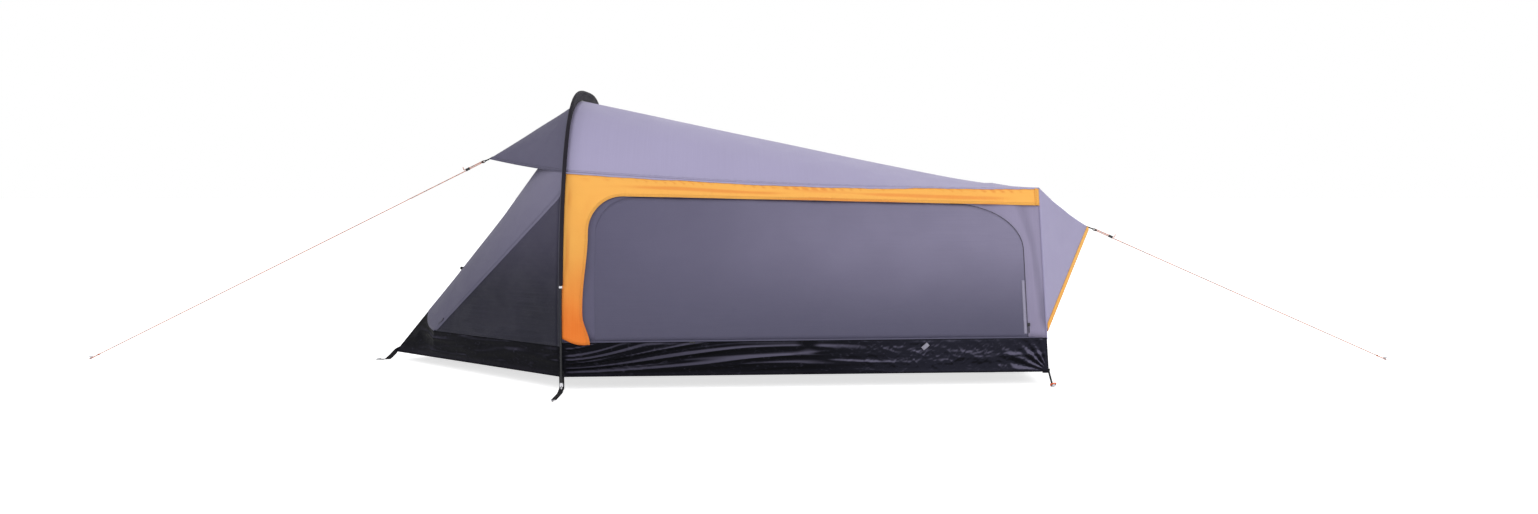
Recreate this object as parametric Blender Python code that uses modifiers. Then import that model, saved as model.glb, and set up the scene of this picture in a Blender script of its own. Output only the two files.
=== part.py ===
"""Trekking tent with one arch pole: fly, inner tent, poles, straps, guylines and pegs.

X runs from the front to the rear, Y across and Z up, in metres. The origin lies on the ground
under the middle of the arch. The near side is the one at negative Y.
"""

import math

import bmesh
import bpy
from mathutils import Matrix, Vector

# General clearances and cloth
CLEARANCE = 0.0003
CLOTH = 0.0015
SEAM = 0.0006

# Arch pole and its sleeve
ARCH_HEIGHT = 1.200
ARCH_HALF_WIDTH = 0.676
ARCH_SIDE_POWER = 3.24
ARCH_TOP_POWER = 2.11
POLE_RADIUS = 0.0045
POLE_WALL = 0.0007
POLE_SECTION_COUNT = 7
FERRULE_LENGTH = 0.050
SHOCK_CORD_RADIUS = 0.0012
SLEEVE_RADIUS = 0.0080
SLEEVE_CLOTH = 0.0008
SLEEVE_END_HEIGHT = 0.413
FIN_HEIGHT = 0.045
TIP_TOP = 0.035
TIP_PLUG_LENGTH = 0.012
TIP_COLLAR_RADIUS = 0.0055
TIP_COLLAR_LENGTH = 0.009
TIP_STEM_RADIUS = 0.0032
TIP_GROUND_GAP = 0.002
TUBE_SIDES = 8

# Fly, from the hem up
HEM_HEIGHT = 0.056
SKIRT_TOP = 0.187
EAVE_FRONT = 0.850
EAVE_SAG = 0.020
RIDGE_SAG = 0.024
RIDGE_SAG_POWER = 13
REAR_TOP_X = 1.897
REAR_FOOT_X = 1.929
REAR_TOP_HEIGHT = 0.788
REAR_TOP_HALF_WIDTH = 0.440
REAR_FOOT_HALF_WIDTH = 0.545
REAR_CROWN = -0.006
SKIRT_FOLD_DEPTH = 0.0035
SKIRT_FOLDS = 7
SKIRT_FOLD_SLANT = 0.9

# Storm flap and side door, along the wall as shares of its length and as heights
BAND_EDGE_FRONT = 0.762
BAND_EDGE_REAR = 0.7165
COLUMN_WIDTH = 0.079
COLUMN_FLARE = 0.029
COLUMN_CORNER_LENGTH = 0.150
COLUMN_CORNER_HEIGHT = 0.135
FLAP_STAND_OFF = 0.0045
SILL_HEIGHT = 0.0045
DOOR_FRONT_X = 0.124
DOOR_REAR_MARGIN = 0.074
DOOR_SIDE_GAP = 0.0015
DOOR_FRONT_CORNER_LENGTH = 0.150
DOOR_FRONT_CORNER_HEIGHT = 0.140
DOOR_REAR_CORNER_LENGTH = 0.290
DOOR_REAR_CORNER_HEIGHT = 0.185

# Front porch
FRONT_TIP_X = -0.883
FRONT_TIP_HEIGHT = 0.038
ZIP_TOP_HEIGHT = 0.780
ZIP_FOOT = (-0.656, -0.166, 0.158)
PANEL_FOOT_X = -0.732
PANEL_FOOT_HEIGHT = 0.222
PANEL_SAG = 0.036
HOOD_TIP = (-0.441, 0.0, 0.904)
HOOD_SAG = 0.004
SEAM_STRIP_WIDTH = 0.016
DOOR_HINGE_OFFSET = 0.001

# Rear beak
BEAK_TIP = (2.238, 0.0, 0.600)
BEAK_FOOT_HEIGHT = 0.212
BEAK_SAG = 0.012
BINDING_WIDTH = 0.016
BINDING_THICKNESS = 0.0012
BINDING_END = 0.93
STRUT_RADIUS = 0.0035

# Inner tent
INNER_FRONT_X = -0.120
INNER_REAR_X = 1.880
INNER_FRONT_HALF_WIDTH = 0.442
INNER_REAR_HALF_WIDTH = 0.372
TUB_HEIGHT = 0.110
TUB_LEAN = 0.110
INNER_EAVE_FRONT = 0.680
INNER_EAVE_REAR = 0.640
INNER_EAVE_LEAN = 0.085
INNER_RIDGE_FRONT = 0.990
INNER_RIDGE_REAR = 0.700
INNER_FRONT_SLOPE = 0.130
INNER_REAR_SLOPE = 0.030
INNER_DOOR_START = 0.18
INNER_DOOR_END = 0.86
INNER_DOOR_TOP_FRONT = 0.600
INNER_DOOR_TOP_REAR = 0.570
INNER_DOOR_SILL = 0.020
INNER_DOOR_CORNER = 0.120
MESH_CLOTH = 0.0012
HANGER_PLACES = (0.060, 0.900, 1.740)
HANGER_WIDTH = 0.012

# Straps, rings and zips
STRAP_HALF_WIDTH = 0.010
STRAP_THICKNESS = 0.0012
STRAP_SEWN_LENGTH = 0.024
ARCH_STRAP_REACH = 0.175
FRONT_STRAP_REACH = 0.092
REAR_STRAP_HALF_WIDTH = 0.004
RING_RADIUS = 0.011
RING_WIRE = 0.0025
RING_OUT = 0.035
RING_BACK = 0.010
LOOP_LENGTH = 0.030
LOOP_SEWN_LENGTH = 0.022
LOOP_HALF_WIDTH = 0.008
SLIDER_LENGTH = 0.013
SLIDER_WIDTH = 0.009
SLIDER_HEIGHT = 0.004
SLIDER_PULL_LENGTH = 0.030
SLIDER_PULL_OVERLAP = 0.002

# Pegs and guylines
PEG_RADIUS = 0.0035
PEG_HEAD_RADIUS = 0.0085
PEG_HEAD_HEIGHT = 0.0030
PEG_DEPTH = 0.150
PEG_POINT_LENGTH = 0.018
PEG_STRAP_INSET = 0.014
CORD_RADIUS = 0.00125
FRONT_GUY_PEG_X = -2.270
REAR_GUY_PEG_X = 3.590
GUY_PEG_LOOP_HEIGHT = 0.0040
GUY_LOOP_LENGTH = 0.040
RUNNER_DISTANCE = 0.066
RUNNER_LENGTH = 0.018
RUNNER_HALF_WIDTH = 0.0045
RUNNER_HALF_HEIGHT = 0.0068
RUNNER_STRAND_OFFSET = 0.0026
LOOP_BEYOND_CORD = 0.0045
TAIL_LENGTH = 0.014

SIDES = {"near": -1.0, "far": 1.0}
ROUND_STEPS = 12
ARCH_COLUMNS = 22
PANEL_EDGE_SHARE = 0.08

# Sizes that follow from the ones above
FLY_HALF_WIDTH = ARCH_HALF_WIDTH - 2 * SLEEVE_RADIUS - 2 * CLEARANCE
FLY_HEIGHT = ARCH_HEIGHT - FIN_HEIGHT
POLE_HALF_WIDTH = ARCH_HALF_WIDTH - SLEEVE_RADIUS
POLE_HEIGHT = ARCH_HEIGHT - SLEEVE_RADIUS
ARCH_SEAM = SEAM / 2
ROOF_SEAM = ARCH_SEAM + CLOTH / 2
HOOD_SEAM = ARCH_SEAM + CLOTH
PANEL_SEAM = ARCH_SEAM + CLOTH
FOLD_SEAM = CLOTH + CLEARANCE
WALL_INSET = CLOTH + FLAP_STAND_OFF
PORCH_INSET = 2 * CLOTH + 2 * CLEARANCE
DOOR_BOTTOM = SKIRT_TOP + SILL_HEIGHT
BORE_RADIUS = POLE_RADIUS - POLE_WALL

COLOURS = {
    "roof": (0.39, 0.36, 0.53),
    "grey": (0.16, 0.15, 0.22),
    "dark": (0.05, 0.05, 0.07),
    "orange": (0.88, 0.36, 0.09),
    "skirt": (0.012, 0.012, 0.016),
    "hood": (0.13, 0.12, 0.18),
    "sleeve": (0.04, 0.035, 0.045),
    "pole": (0.02, 0.02, 0.022),
    "tip": (0.55, 0.55, 0.57),
    "strap": (0.012, 0.012, 0.013),
    "ring": (0.90, 0.22, 0.03),
    "cord": (0.80, 0.30, 0.05),
    "runner": (0.02, 0.02, 0.022),
    "peg": (0.45, 0.45, 0.47),
    "inner": (0.55, 0.55, 0.57),
    "mesh": (0.03, 0.03, 0.035),
    "floor": (0.03, 0.03, 0.035),
    "rod": (0.06, 0.06, 0.065),
    "elastic": (0.70, 0.70, 0.68),
}
METALS = {"pole": 0.6, "tip": 0.9, "peg": 0.9}


def clear_scene():
    """Start from an empty scene."""
    for thing in list(bpy.data.objects):
        bpy.data.objects.remove(thing, do_unlink=True)


def collection(name):
    """Make one collection in the scene."""
    made = bpy.data.collections.new(name)
    bpy.context.scene.collection.children.link(made)
    return made


def material(name, colour):
    """A plain finish for one piece."""
    made = bpy.data.materials.new(name)
    made.use_nodes = True
    shader = made.node_tree.nodes["Principled BSDF"]
    shader.inputs["Base Color"].default_value = (*COLOURS[colour], 1.0)
    shader.inputs["Metallic"].default_value = METALS.get(colour, 0.0)
    shader.inputs["Roughness"].default_value = 0.35 if colour in METALS or colour == "skirt" else 0.75
    return made


def add_object(name, data, colour):
    """Put data in the tent's collection as one named piece with its own finish."""
    thing = bpy.data.objects.new(name, data)
    TENT.objects.link(thing)
    data.materials.append(material(name, colour))
    return thing


def add_cutter(name, data):
    """Put data among the cutters, out of the model."""
    thing = bpy.data.objects.new(name, data)
    CUTTERS.objects.link(thing)
    thing.hide_render = True
    thing.display_type = "WIRE"
    return thing


def mix(a, b, share):
    """Point or number at a share of the way from a to b."""
    return a + (b - a) * share


def smooth(share):
    """Ease from 0 to 1."""
    share = min(1.0, max(0.0, share))
    return share * share * (3 - 2 * share)


# Curves of the arch


def arch_angle(height, arch_height):
    """Angle along an arch at which it reaches a height."""
    return math.asin(min(1.0, height / arch_height) ** (ARCH_TOP_POWER / 2))


def arch_point(angle, half_width, height):
    """Point of an arch, from the near foot at 0 to the far foot at pi."""
    across = -math.copysign(abs(math.cos(angle)) ** (2 / ARCH_SIDE_POWER), math.cos(angle))
    up = max(0.0, math.sin(angle)) ** (2 / ARCH_TOP_POWER)
    return Vector((0.0, half_width * across, height * up))


def arch_level(point, half_width, height):
    """Less than 0 inside an arch, more outside it."""
    across = (abs(point.y) / half_width) ** ARCH_SIDE_POWER
    return across + (max(0.0, point.z) / height) ** ARCH_TOP_POWER - 1.0


def arch_outward(angle, half_width, height):
    """Direction square to an arch, away from its inside."""
    step = 1e-4
    run = arch_point(angle + step, half_width, height) - arch_point(angle - step, half_width, height)
    return Vector((0.0, -run.z, run.y)).normalized()


def eave_angle():
    """Angle along the fly's arch at which the roof's seam starts."""
    return arch_angle(EAVE_FRONT, FLY_HEIGHT)


def roof_angle(across):
    """Angle along the fly's arch: -1 is the near eave, 0 the ridge and 1 the far eave."""
    return mix(math.pi / 2, math.pi - eave_angle(), across)


def arch_half_width(height, inset=0.0):
    """Half width of the fly at the arch, at a height."""
    angle = arch_angle(height, FLY_HEIGHT - inset)
    return -arch_point(angle, FLY_HALF_WIDTH - inset, FLY_HEIGHT - inset).y


# Surfaces of the fly behind the arch


def rear_share(height):
    """Share of the way up the rear corner."""
    return (height - HEM_HEIGHT) / (REAR_TOP_HEIGHT - HEM_HEIGHT)


def rear_x(height):
    """X of the rear corner at a height."""
    return mix(REAR_FOOT_X, REAR_TOP_X, rear_share(height))


def rear_half_width(height):
    """Half width of the fly at the rear corner, at a height."""
    return mix(REAR_FOOT_HALF_WIDTH, REAR_TOP_HALF_WIDTH, rear_share(height))


def eave_height(s):
    """Height of the seam between the roof and the wall."""
    return mix(EAVE_FRONT, REAR_TOP_HEIGHT, s) - EAVE_SAG * math.sin(math.pi * s)


def wall_point(s, height, side, inset=0.0):
    """Point of the side wall: s runs from the arch to the rear corner."""
    x = mix(ROOF_SEAM, rear_x(height), s)
    half = mix(arch_half_width(height), rear_half_width(height), s) - inset
    return Vector((x, side * half, height))


def roof_point(s, across):
    """Point of the roof: across runs from -1 at the near eave to 1 at the far one."""
    share = abs(across)
    side = -1.0 if across < 0 else 1.0
    front = arch_point(roof_angle(across), FLY_HALF_WIDTH, FLY_HEIGHT)
    front.x = ROOF_SEAM
    crown = REAR_CROWN * (1 - share)
    rear = Vector((REAR_TOP_X, side * REAR_TOP_HALF_WIDTH * share, REAR_TOP_HEIGHT + crown))
    point = mix(front, rear, s)
    ridge_sag = RIDGE_SAG * (s - s**RIDGE_SAG_POWER)
    point.z -= mix(ridge_sag, EAVE_SAG * math.sin(math.pi * s), share)
    edge = wall_point(s, eave_height(s), side)
    straight = side * mix(arch_half_width(EAVE_FRONT), REAR_TOP_HALF_WIDTH, s)
    point.y += (edge.y - straight) * share**4
    return point


def along_share(length):
    """A length along the side wall as a share of it."""
    return length / REAR_TOP_X


def band_edge(s):
    """Height of the free lower edge of the storm flap's band."""
    return mix(BAND_EDGE_FRONT, BAND_EDGE_REAR, s)


def corner_outline(start, end, top, front_corner, rear_corner, counts, bottom):
    """Outline of an opening as (s, height) pairs: up the front edge, along the top, down the rear.

    front_corner and rear_corner are (length, height) of the rounded corners, and counts are the
    points on an edge, on a corner and on the top.
    """
    legs, turns, tops = counts
    front_low = top(start + front_corner[0]) - front_corner[1]
    rear_low = top(end - rear_corner[0]) - rear_corner[1]
    points = [(start, mix(bottom, front_low, k / legs)) for k in range(legs)]
    for k in range(turns):
        turn = math.pi / 2 * k / turns
        s = start + front_corner[0] * (1 - math.cos(turn))
        points.append((s, front_low + front_corner[1] * math.sin(turn)))
    for k in range(tops):
        s = mix(start + front_corner[0], end - rear_corner[0], k / tops)
        points.append((s, top(s)))
    for k in range(turns + 1):
        turn = math.pi / 2 * (1 - k / turns)
        s = end - rear_corner[0] * (1 - math.cos(turn))
        points.append((s, rear_low + rear_corner[1] * math.sin(turn)))
    points += [(end, mix(rear_low, bottom, k / legs)) for k in range(1, legs + 1)]
    return points


def frame_outline(top, inner, counts, bottom):
    """Outer outline that matches an opening's points: up the front, along the top, down the rear."""
    legs, turns, tops = counts
    half = turns // 2
    points = [(0.0, inner[k][1]) for k in range(legs)]
    low = inner[legs][1]
    for k in range(half):
        points.append((0.0, mix(low, top(0.0), k / half)))
    corner_s = inner[legs + turns][0]
    for k in range(turns - half):
        s = mix(0.0, corner_s, k / (turns - half))
        points.append((s, top(s)))
    for k in range(tops):
        s = inner[legs + turns + k][0]
        points.append((s, top(s)))
    corner_s = inner[legs + turns + tops][0]
    for k in range(turns - half):
        s = mix(corner_s, 1.0, k / (turns - half))
        points.append((s, top(s)))
    low = inner[legs + 2 * turns + tops][1]
    for k in range(half + 1):
        points.append((1.0, mix(top(1.0), low, k / half)))
    points += [(1.0, mix(low, bottom, k / legs)) for k in range(1, legs + 1)]
    return points


DOOR_COUNTS = (3, 6, 6)


def door_outline(gap):
    """Outline of the side door, smaller by gap than the opening in the wall."""
    start = along_share(DOOR_FRONT_X + gap)
    end = 1.0 - along_share(DOOR_REAR_MARGIN + gap)
    front = (along_share(DOOR_FRONT_CORNER_LENGTH), DOOR_FRONT_CORNER_HEIGHT)
    rear = (along_share(DOOR_REAR_CORNER_LENGTH), DOOR_REAR_CORNER_HEIGHT)

    def top(s):
        return band_edge(s) - SEAM - gap

    return corner_outline(start, end, top, front, rear, DOOR_COUNTS, DOOR_BOTTOM)


# Meshes


def face_outwards(mesh, inside):
    """Turn an open sheet's faces away from a point inside the tent."""
    inside = Vector(inside)
    total = sum(f.calc_area() * f.normal.dot(f.calc_center_median() - inside) for f in mesh.faces)
    if total < 0:
        bmesh.ops.reverse_faces(mesh, faces=mesh.faces)


def add_patch(mesh, columns, rows, point):
    """Add a grid whose vertices follow point(u, v), with u and v from 0 to 1."""
    made = bmesh.ops.create_grid(mesh, x_segments=columns, y_segments=rows, size=1.0)
    for vertex in made["verts"]:
        vertex.co = point((vertex.co.x + 1) / 2, (vertex.co.y + 1) / 2)


def finish_sheet(name, mesh, colour, thickness, inside):
    """Turn an open sheet into a closed piece of cloth whose outer face is the sheet."""
    bmesh.ops.remove_doubles(mesh, verts=mesh.verts, dist=1e-5)
    bmesh.ops.recalc_face_normals(mesh, faces=mesh.faces)
    mesh.normal_update()
    face_outwards(mesh, inside)
    data = bpy.data.meshes.new(name)
    mesh.to_mesh(data)
    mesh.free()
    data.shade_smooth()
    data.set_sharp_from_angle(angle=math.radians(35))
    thing = add_object(name, data, colour)
    shell = thing.modifiers.new("thickness", "SOLIDIFY")
    shell.thickness = thickness
    shell.offset = -1.0
    return thing


def sheet(name, columns, rows, point, colour, inside=(0.9, 0.0, 0.35), thickness=CLOTH):
    """A sheet of cloth from one grid."""
    mesh = bmesh.new()
    add_patch(mesh, columns, rows, point)
    return finish_sheet(name, mesh, colour, thickness, inside)


def mix_pair(low, high, u, v):
    """Pair of numbers between two rows of two pairs: u along the rows, v from one to the other."""
    return tuple(mix(mix(low[0][k], low[1][k], u), mix(high[0][k], high[1][k], u), v) for k in (0, 1))


def put_origin(thing, place):
    """Move a piece's origin to place without moving the piece."""
    thing.data.transform(Matrix.Translation(-place))
    thing.location = place


def listed(points, share):
    """The point of a list at a share of its length in steps."""
    return points[round(share * (len(points) - 1))]


def turned(name, profile, colour, place):
    """A turned piece: profile holds (radius, height) from the top down its outer side."""
    data = bpy.data.meshes.new(name)
    rim = [(radius, 0.0, height) for radius, height in profile]
    data.from_pydata(rim, [(k, k + 1) for k in range(len(rim) - 1)], [])
    thing = add_object(name, data, colour)
    thing.location = place
    screw = thing.modifiers.new("turn", "SCREW")
    screw.steps = ROUND_STEPS
    screw.render_steps = ROUND_STEPS
    screw.use_merge_vertices = True
    screw.merge_threshold = 0.00005
    return thing


def curve_data(name, points, radius, caps=True, radii=None):
    """A round tube along points."""
    data = bpy.data.curves.new(name, "CURVE")
    data.dimensions = "3D"
    data.bevel_depth = radius
    data.bevel_resolution = 2
    data.use_fill_caps = caps
    spline = data.splines.new("POLY")
    spline.points.add(len(points) - 1)
    for k, point in enumerate(points):
        spline.points[k].co = (*point, 1.0)
        if radii:
            spline.points[k].radius = radii[k]
    return data


def cut(thing, cutter, name):
    """Cut one mesh piece with a closed cutter."""
    saw = thing.modifiers.new(name, "BOOLEAN")
    saw.operation = "DIFFERENCE"
    saw.solver = "EXACT"
    saw.object = cutter


def cylinder_cutter(name, place, radius, length):
    """An upright cylinder that cuts a hole."""
    mesh = bmesh.new()
    bmesh.ops.create_cone(
        mesh, cap_ends=True, segments=ROUND_STEPS, radius1=radius, radius2=radius, depth=length
    )
    bmesh.ops.translate(mesh, verts=mesh.verts, vec=Vector(place))
    data = bpy.data.meshes.new(name)
    mesh.to_mesh(data)
    mesh.free()
    return add_cutter(name, data)


def tube_cutter(name, points, radius):
    """A closed tube along points that cuts a bore."""
    data = curve_data(name, points, radius)
    guide = bpy.data.objects.new(name + "_guide", data)
    CUTTERS.objects.link(guide)
    scene = bpy.context.evaluated_depsgraph_get()
    scene.update()
    mesh_data = bpy.data.meshes.new_from_object(guide.evaluated_get(scene))
    bpy.data.objects.remove(guide, do_unlink=True)
    mesh = bmesh.new()
    mesh.from_mesh(mesh_data)
    bmesh.ops.remove_doubles(mesh, verts=mesh.verts, dist=1e-6)
    mesh.to_mesh(mesh_data)
    mesh.free()
    return add_cutter(name, mesh_data)


def ribbon(name, path, half_width, across, colour, thickness=STRAP_THICKNESS, round_end=True):
    """A flat strap along a path, centred on it and lying along the vector across."""
    across = Vector(across).normalized()
    last = len(path) - 1
    lengths = [0.0]
    for k in range(last):
        lengths.append(lengths[-1] + (path[k + 1] - path[k]).length)

    def half_at(k):
        left = lengths[last] - lengths[k]
        if not round_end or left >= half_width:
            return half_width
        return half_width * max(0.45, math.sqrt(1 - (1 - left / half_width) ** 2))

    def point(u, v):
        k = round(u * last)
        return path[k] + across * half_at(k) * (2 * v - 1)

    mesh = bmesh.new()
    add_patch(mesh, last, 2, point)
    mesh.normal_update()
    data = bpy.data.meshes.new(name)
    mesh.to_mesh(data)
    mesh.free()
    thing = add_object(name, data, colour)
    shell = thing.modifiers.new("thickness", "SOLIDIFY")
    shell.thickness = thickness
    shell.offset = 0.0
    return thing


def bent_path(corners, radius, steps=4):
    """Points along straight runs between corners, with each corner rounded."""
    points = [corners[0]]
    for before, corner, after in zip(corners, corners[1:], corners[2:]):
        back = (before - corner).normalized()
        on = (after - corner).normalized()
        reach = min(radius, 0.45 * (before - corner).length, 0.45 * (after - corner).length)
        for k in range(steps + 1):
            share = k / steps
            start = corner + back * reach
            end = corner + on * reach
            points.append(mix(mix(start, corner, share), mix(corner, end, share), share))
    points.append(corners[-1])
    return points


def spaced(points, step):
    """A path's points at an even spacing near step, read from the path."""
    lengths = [0.0]
    for a, b in zip(points, points[1:]):
        lengths.append(lengths[-1] + (b - a).length)
    count = max(2, round(lengths[-1] / step))
    even = []
    k = 0
    for n in range(count + 1):
        want = lengths[-1] * n / count
        while k < len(points) - 2 and lengths[k + 1] < want:
            k += 1
        share = (want - lengths[k]) / (lengths[k + 1] - lengths[k])
        even.append(mix(points[k], points[k + 1], share))
    return even


# Fly


def build_roof():
    """The roof, from the arch to the rear edge."""
    sheet("roof", ARCH_COLUMNS, 10, lambda u, v: roof_point(v, 2 * u - 1), "roof")


def build_storm_flap(side_name, side):
    """The column beside the pole and the band along the eave, with a free inner edge."""
    counts = (4, 6, 10)
    legs, turns, tops = counts
    bottom = DOOR_BOTTOM + 3 * CLOTH
    start = along_share(COLUMN_WIDTH)
    corner = (along_share(COLUMN_CORNER_LENGTH), COLUMN_CORNER_HEIGHT)
    low = band_edge(start + corner[0]) - corner[1]
    inner = []
    for k in range(legs):
        height = mix(bottom, low, k / legs)
        flare = COLUMN_FLARE * (1 - smooth((height - bottom) / (4 * COLUMN_FLARE)))
        inner.append((start + along_share(flare), height))
    for k in range(turns):
        turn = math.pi / 2 * k / turns
        inner.append((start + corner[0] * (1 - math.cos(turn)), low + corner[1] * math.sin(turn)))
    for k in range(tops + 1):
        s = mix(start + corner[0], 1.0, k / tops)
        inner.append((s, band_edge(s)))
    outer = [(0.0, height) for _, height in inner[:legs]]
    half = turns // 2
    for k in range(half):
        outer.append((0.0, mix(low, eave_height(0.0) - FOLD_SEAM, k / half)))
    for k in range(turns - half):
        s = mix(0.0, start + corner[0], k / (turns - half))
        outer.append((s, eave_height(s) - FOLD_SEAM))
    for k in range(tops + 1):
        s = inner[legs + turns + k][0]
        outer.append((s, eave_height(s) - FOLD_SEAM))

    def point(u, v):
        s_outer, z_outer = listed(outer, u)
        s_inner, z_inner = listed(inner, u)
        return wall_point(mix(s_outer, s_inner, v), mix(z_outer, z_inner, v), side)

    sheet("storm_flap_" + side_name, len(inner) - 1, 2, point, "orange")


def build_side_wall(side_name, side):
    """The wall round the side door: behind the flap in front and above, the grey margin behind."""
    inner = door_outline(0.0)
    bottom = SKIRT_TOP + SEAM
    outer = frame_outline(lambda s: eave_height(s) - FOLD_SEAM, inner, DOOR_COUNTS, bottom)

    def point(u, v):
        s_outer, z_outer = listed(outer, u)
        s_inner, z_inner = listed(inner, u)
        return wall_point(mix(s_outer, s_inner, v), mix(z_outer, z_inner, v), side, WALL_INSET)

    def sill(u, v):
        s, z = mix_pair((outer[0], outer[-1]), (inner[0], inner[-1]), u, v)
        return wall_point(s, z, side, WALL_INSET)

    mesh = bmesh.new()
    add_patch(mesh, len(inner) - 1, 2, point)
    add_patch(mesh, 1, 2, sill)
    finish_sheet("side_wall_" + side_name, mesh, "roof", CLOTH, (0.9, 0.0, 0.35))


def build_side_door(side_name, side):
    """The side door, hung on its lower edge."""
    legs, turns, tops = DOOR_COUNTS
    outline = door_outline(DOOR_SIDE_GAP)
    top = outline[legs : legs + 2 * turns + tops + 1]

    def point(u, v):
        s, z = listed(top, u)
        return wall_point(s, mix(DOOR_BOTTOM + CLEARANCE, z, v), side, WALL_INSET)

    door = sheet("side_door_" + side_name, len(top) - 1, 4, point, "grey")
    put_origin(door, mix(point(0.0, 0.0), point(1.0, 0.0), 0.5))


def skirt_fold(along, rise):
    """How far a slanting fold stands out of a skirt: none at its seams and its ends."""
    wave = 0.5 - 0.5 * math.cos(math.tau * (SKIRT_FOLDS * along + SKIRT_FOLD_SLANT * rise))
    return SKIRT_FOLD_DEPTH * wave * math.sin(math.pi * along) ** 0.5 * smooth(2 * (1 - rise))


def build_side_skirt(side_name, side):
    """The black skirt below the wall, with shallow folds."""

    def point(u, v):
        fold = skirt_fold(u, v)
        return wall_point(u, mix(HEM_HEIGHT, SKIRT_TOP, v), side, -fold)

    sheet("side_skirt_" + side_name, 4 * SKIRT_FOLDS, 3, point, "skirt")


def build_rear():
    """The rear skirt and the rear mesh wall between the corners."""
    edge = CLOTH + CLEARANCE

    def skirt_point(u, v):
        height = mix(HEM_HEIGHT, SKIRT_TOP, v)
        across = (2 * u - 1) * (rear_half_width(height) - edge)
        return Vector((rear_x(height) - edge, across, height))

    sheet("rear_skirt", 8, 2, skirt_point, "skirt")
    wall_edge = WALL_INSET + CLOTH + CLEARANCE
    top = REAR_TOP_HEIGHT + min(0.0, REAR_CROWN) - 2 * FOLD_SEAM

    def wall_point_rear(u, v):
        height = mix(SKIRT_TOP + SEAM, top, v)
        across = (2 * u - 1) * (rear_half_width(height) - wall_edge)
        return Vector((rear_x(height) - edge, across, height))

    sheet("rear_wall", 8, 4, wall_point_rear, "mesh", thickness=MESH_CLOTH)


def zip_points():
    """The zip's top and foot and the skirt's corner by the arch, on the near side."""
    top = Vector((-PANEL_SEAM, -arch_half_width(ZIP_TOP_HEIGHT, PORCH_INSET), ZIP_TOP_HEIGHT))
    foot = Vector(ZIP_FOOT)
    corner = Vector((-PANEL_SEAM, -arch_half_width(SKIRT_TOP, PORCH_INSET), SKIRT_TOP))
    return top, foot, corner


def flipped(point, side):
    """A near-side point moved to the given side."""
    return Vector((point.x, -side * point.y, point.z))


def strip_share():
    """Share of the zip's length that the seam strip beside the arch takes."""
    top, foot, _ = zip_points()
    return SEAM_STRIP_WIDTH / (top.x - foot.x)


def build_front_panel():
    """The middle panel of the porch, with the seam strips down both sides of the arch."""
    top, foot, corner = zip_points()
    strip = strip_share()
    low = arch_angle(ZIP_TOP_HEIGHT, FLY_HEIGHT - PORCH_INSET)
    panel_foot = Vector((PANEL_FOOT_X, 0.0, PANEL_FOOT_HEIGHT))
    rows = [0.0, strip] + [mix(strip, 1.0, k / 8) for k in range(1, 9)]
    across = ARCH_COLUMNS + 2

    def panel_point(u, v):
        side = -1.0 if u < 0.5 else 1.0
        column = abs(round(u * across) - across // 2)
        share = min(1.0, 2 * column / ARCH_COLUMNS)
        t = listed(rows, v)
        angle = roof_angle(-share) if column < across // 2 else low
        share = mix(0.0, 1 - PANEL_EDGE_SHARE, share) if column < across // 2 else 1.0
        start = arch_point(angle, FLY_HALF_WIDTH - PORCH_INSET, FLY_HEIGHT - PORCH_INSET)
        start = Vector((-PANEL_SEAM, -abs(start.y), start.z))
        end = mix(panel_foot, foot, share)
        place = mix(start, end, t)
        place.z -= PANEL_SAG * math.sin(math.pi * math.sqrt(t)) * (1 - share**2)
        return flipped(place, side)

    mesh = bmesh.new()
    add_patch(mesh, across, len(rows) - 1, panel_point)
    for side in SIDES.values():

        def strip_point(u, v, side=side):
            height = mix(SKIRT_TOP + SEAM, ZIP_TOP_HEIGHT, v)
            start = Vector((-PANEL_SEAM, -arch_half_width(height, PORCH_INSET), height))
            return flipped(mix(start, foot, u * strip), side)

        add_patch(mesh, 1, 8, strip_point)
    finish_sheet("front_panel", mesh, "grey", CLOTH, (-0.2, 0.0, 0.2))


def build_front_door(side_name, side):
    """A dark porch door, from the arch to the foot of the zip."""
    top, foot, corner = zip_points()
    up = (top - foot).normalized()
    along = (corner - foot).normalized()
    half_angle = up.angle(along) / 2
    tip = foot + (up + along).normalized() * (SEAM / math.sin(half_angle))
    start_share = strip_share() + SEAM / (top - foot).length
    rise = SEAM / math.cos(up.angle(along))

    def point(u, v):
        height = mix(SKIRT_TOP + 2 * SEAM, ZIP_TOP_HEIGHT - rise, v)
        start = Vector((-PANEL_SEAM, -arch_half_width(height, PORCH_INSET), height))
        return flipped(mix(start, tip, mix(start_share, 0.985, u)), side)

    door = sheet("front_door_" + side_name, 8, 8, point, "dark", inside=(-0.2, 0.0, 0.2))
    put_origin(door, point(0.0, 0.5) + Vector((0.0, side * DOOR_HINGE_OFFSET, 0.0)))


def build_front_skirt():
    """The skirt round the porch, from one foot of the arch to the tip and back."""
    _, foot, corner = zip_points()
    hem = Vector((-PANEL_SEAM, -arch_half_width(HEM_HEIGHT, PORCH_INSET), HEM_HEIGHT))
    tip = Vector((FRONT_TIP_X, 0.0, FRONT_TIP_HEIGHT))
    panel_foot = Vector((PANEL_FOOT_X, 0.0, PANEL_FOOT_HEIGHT))
    drop = Vector((0.0, 0.0, -FOLD_SEAM))

    def point(u, v):
        side = -1.0 if u < 0.5 else 1.0
        along = 1 - abs(2 * u - 1)
        if along < 0.75:
            upper = mix(corner, foot, along / 0.75) + drop * smooth(along / 0.1)
        else:
            upper = mix(foot, panel_foot, (along - 0.75) / 0.25) + drop
        return flipped(mix(mix(hem, tip, along), upper, v), side)

    sheet("front_skirt", 32, 3, point, "skirt", inside=(-0.3, 0.0, 0.1))


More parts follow.
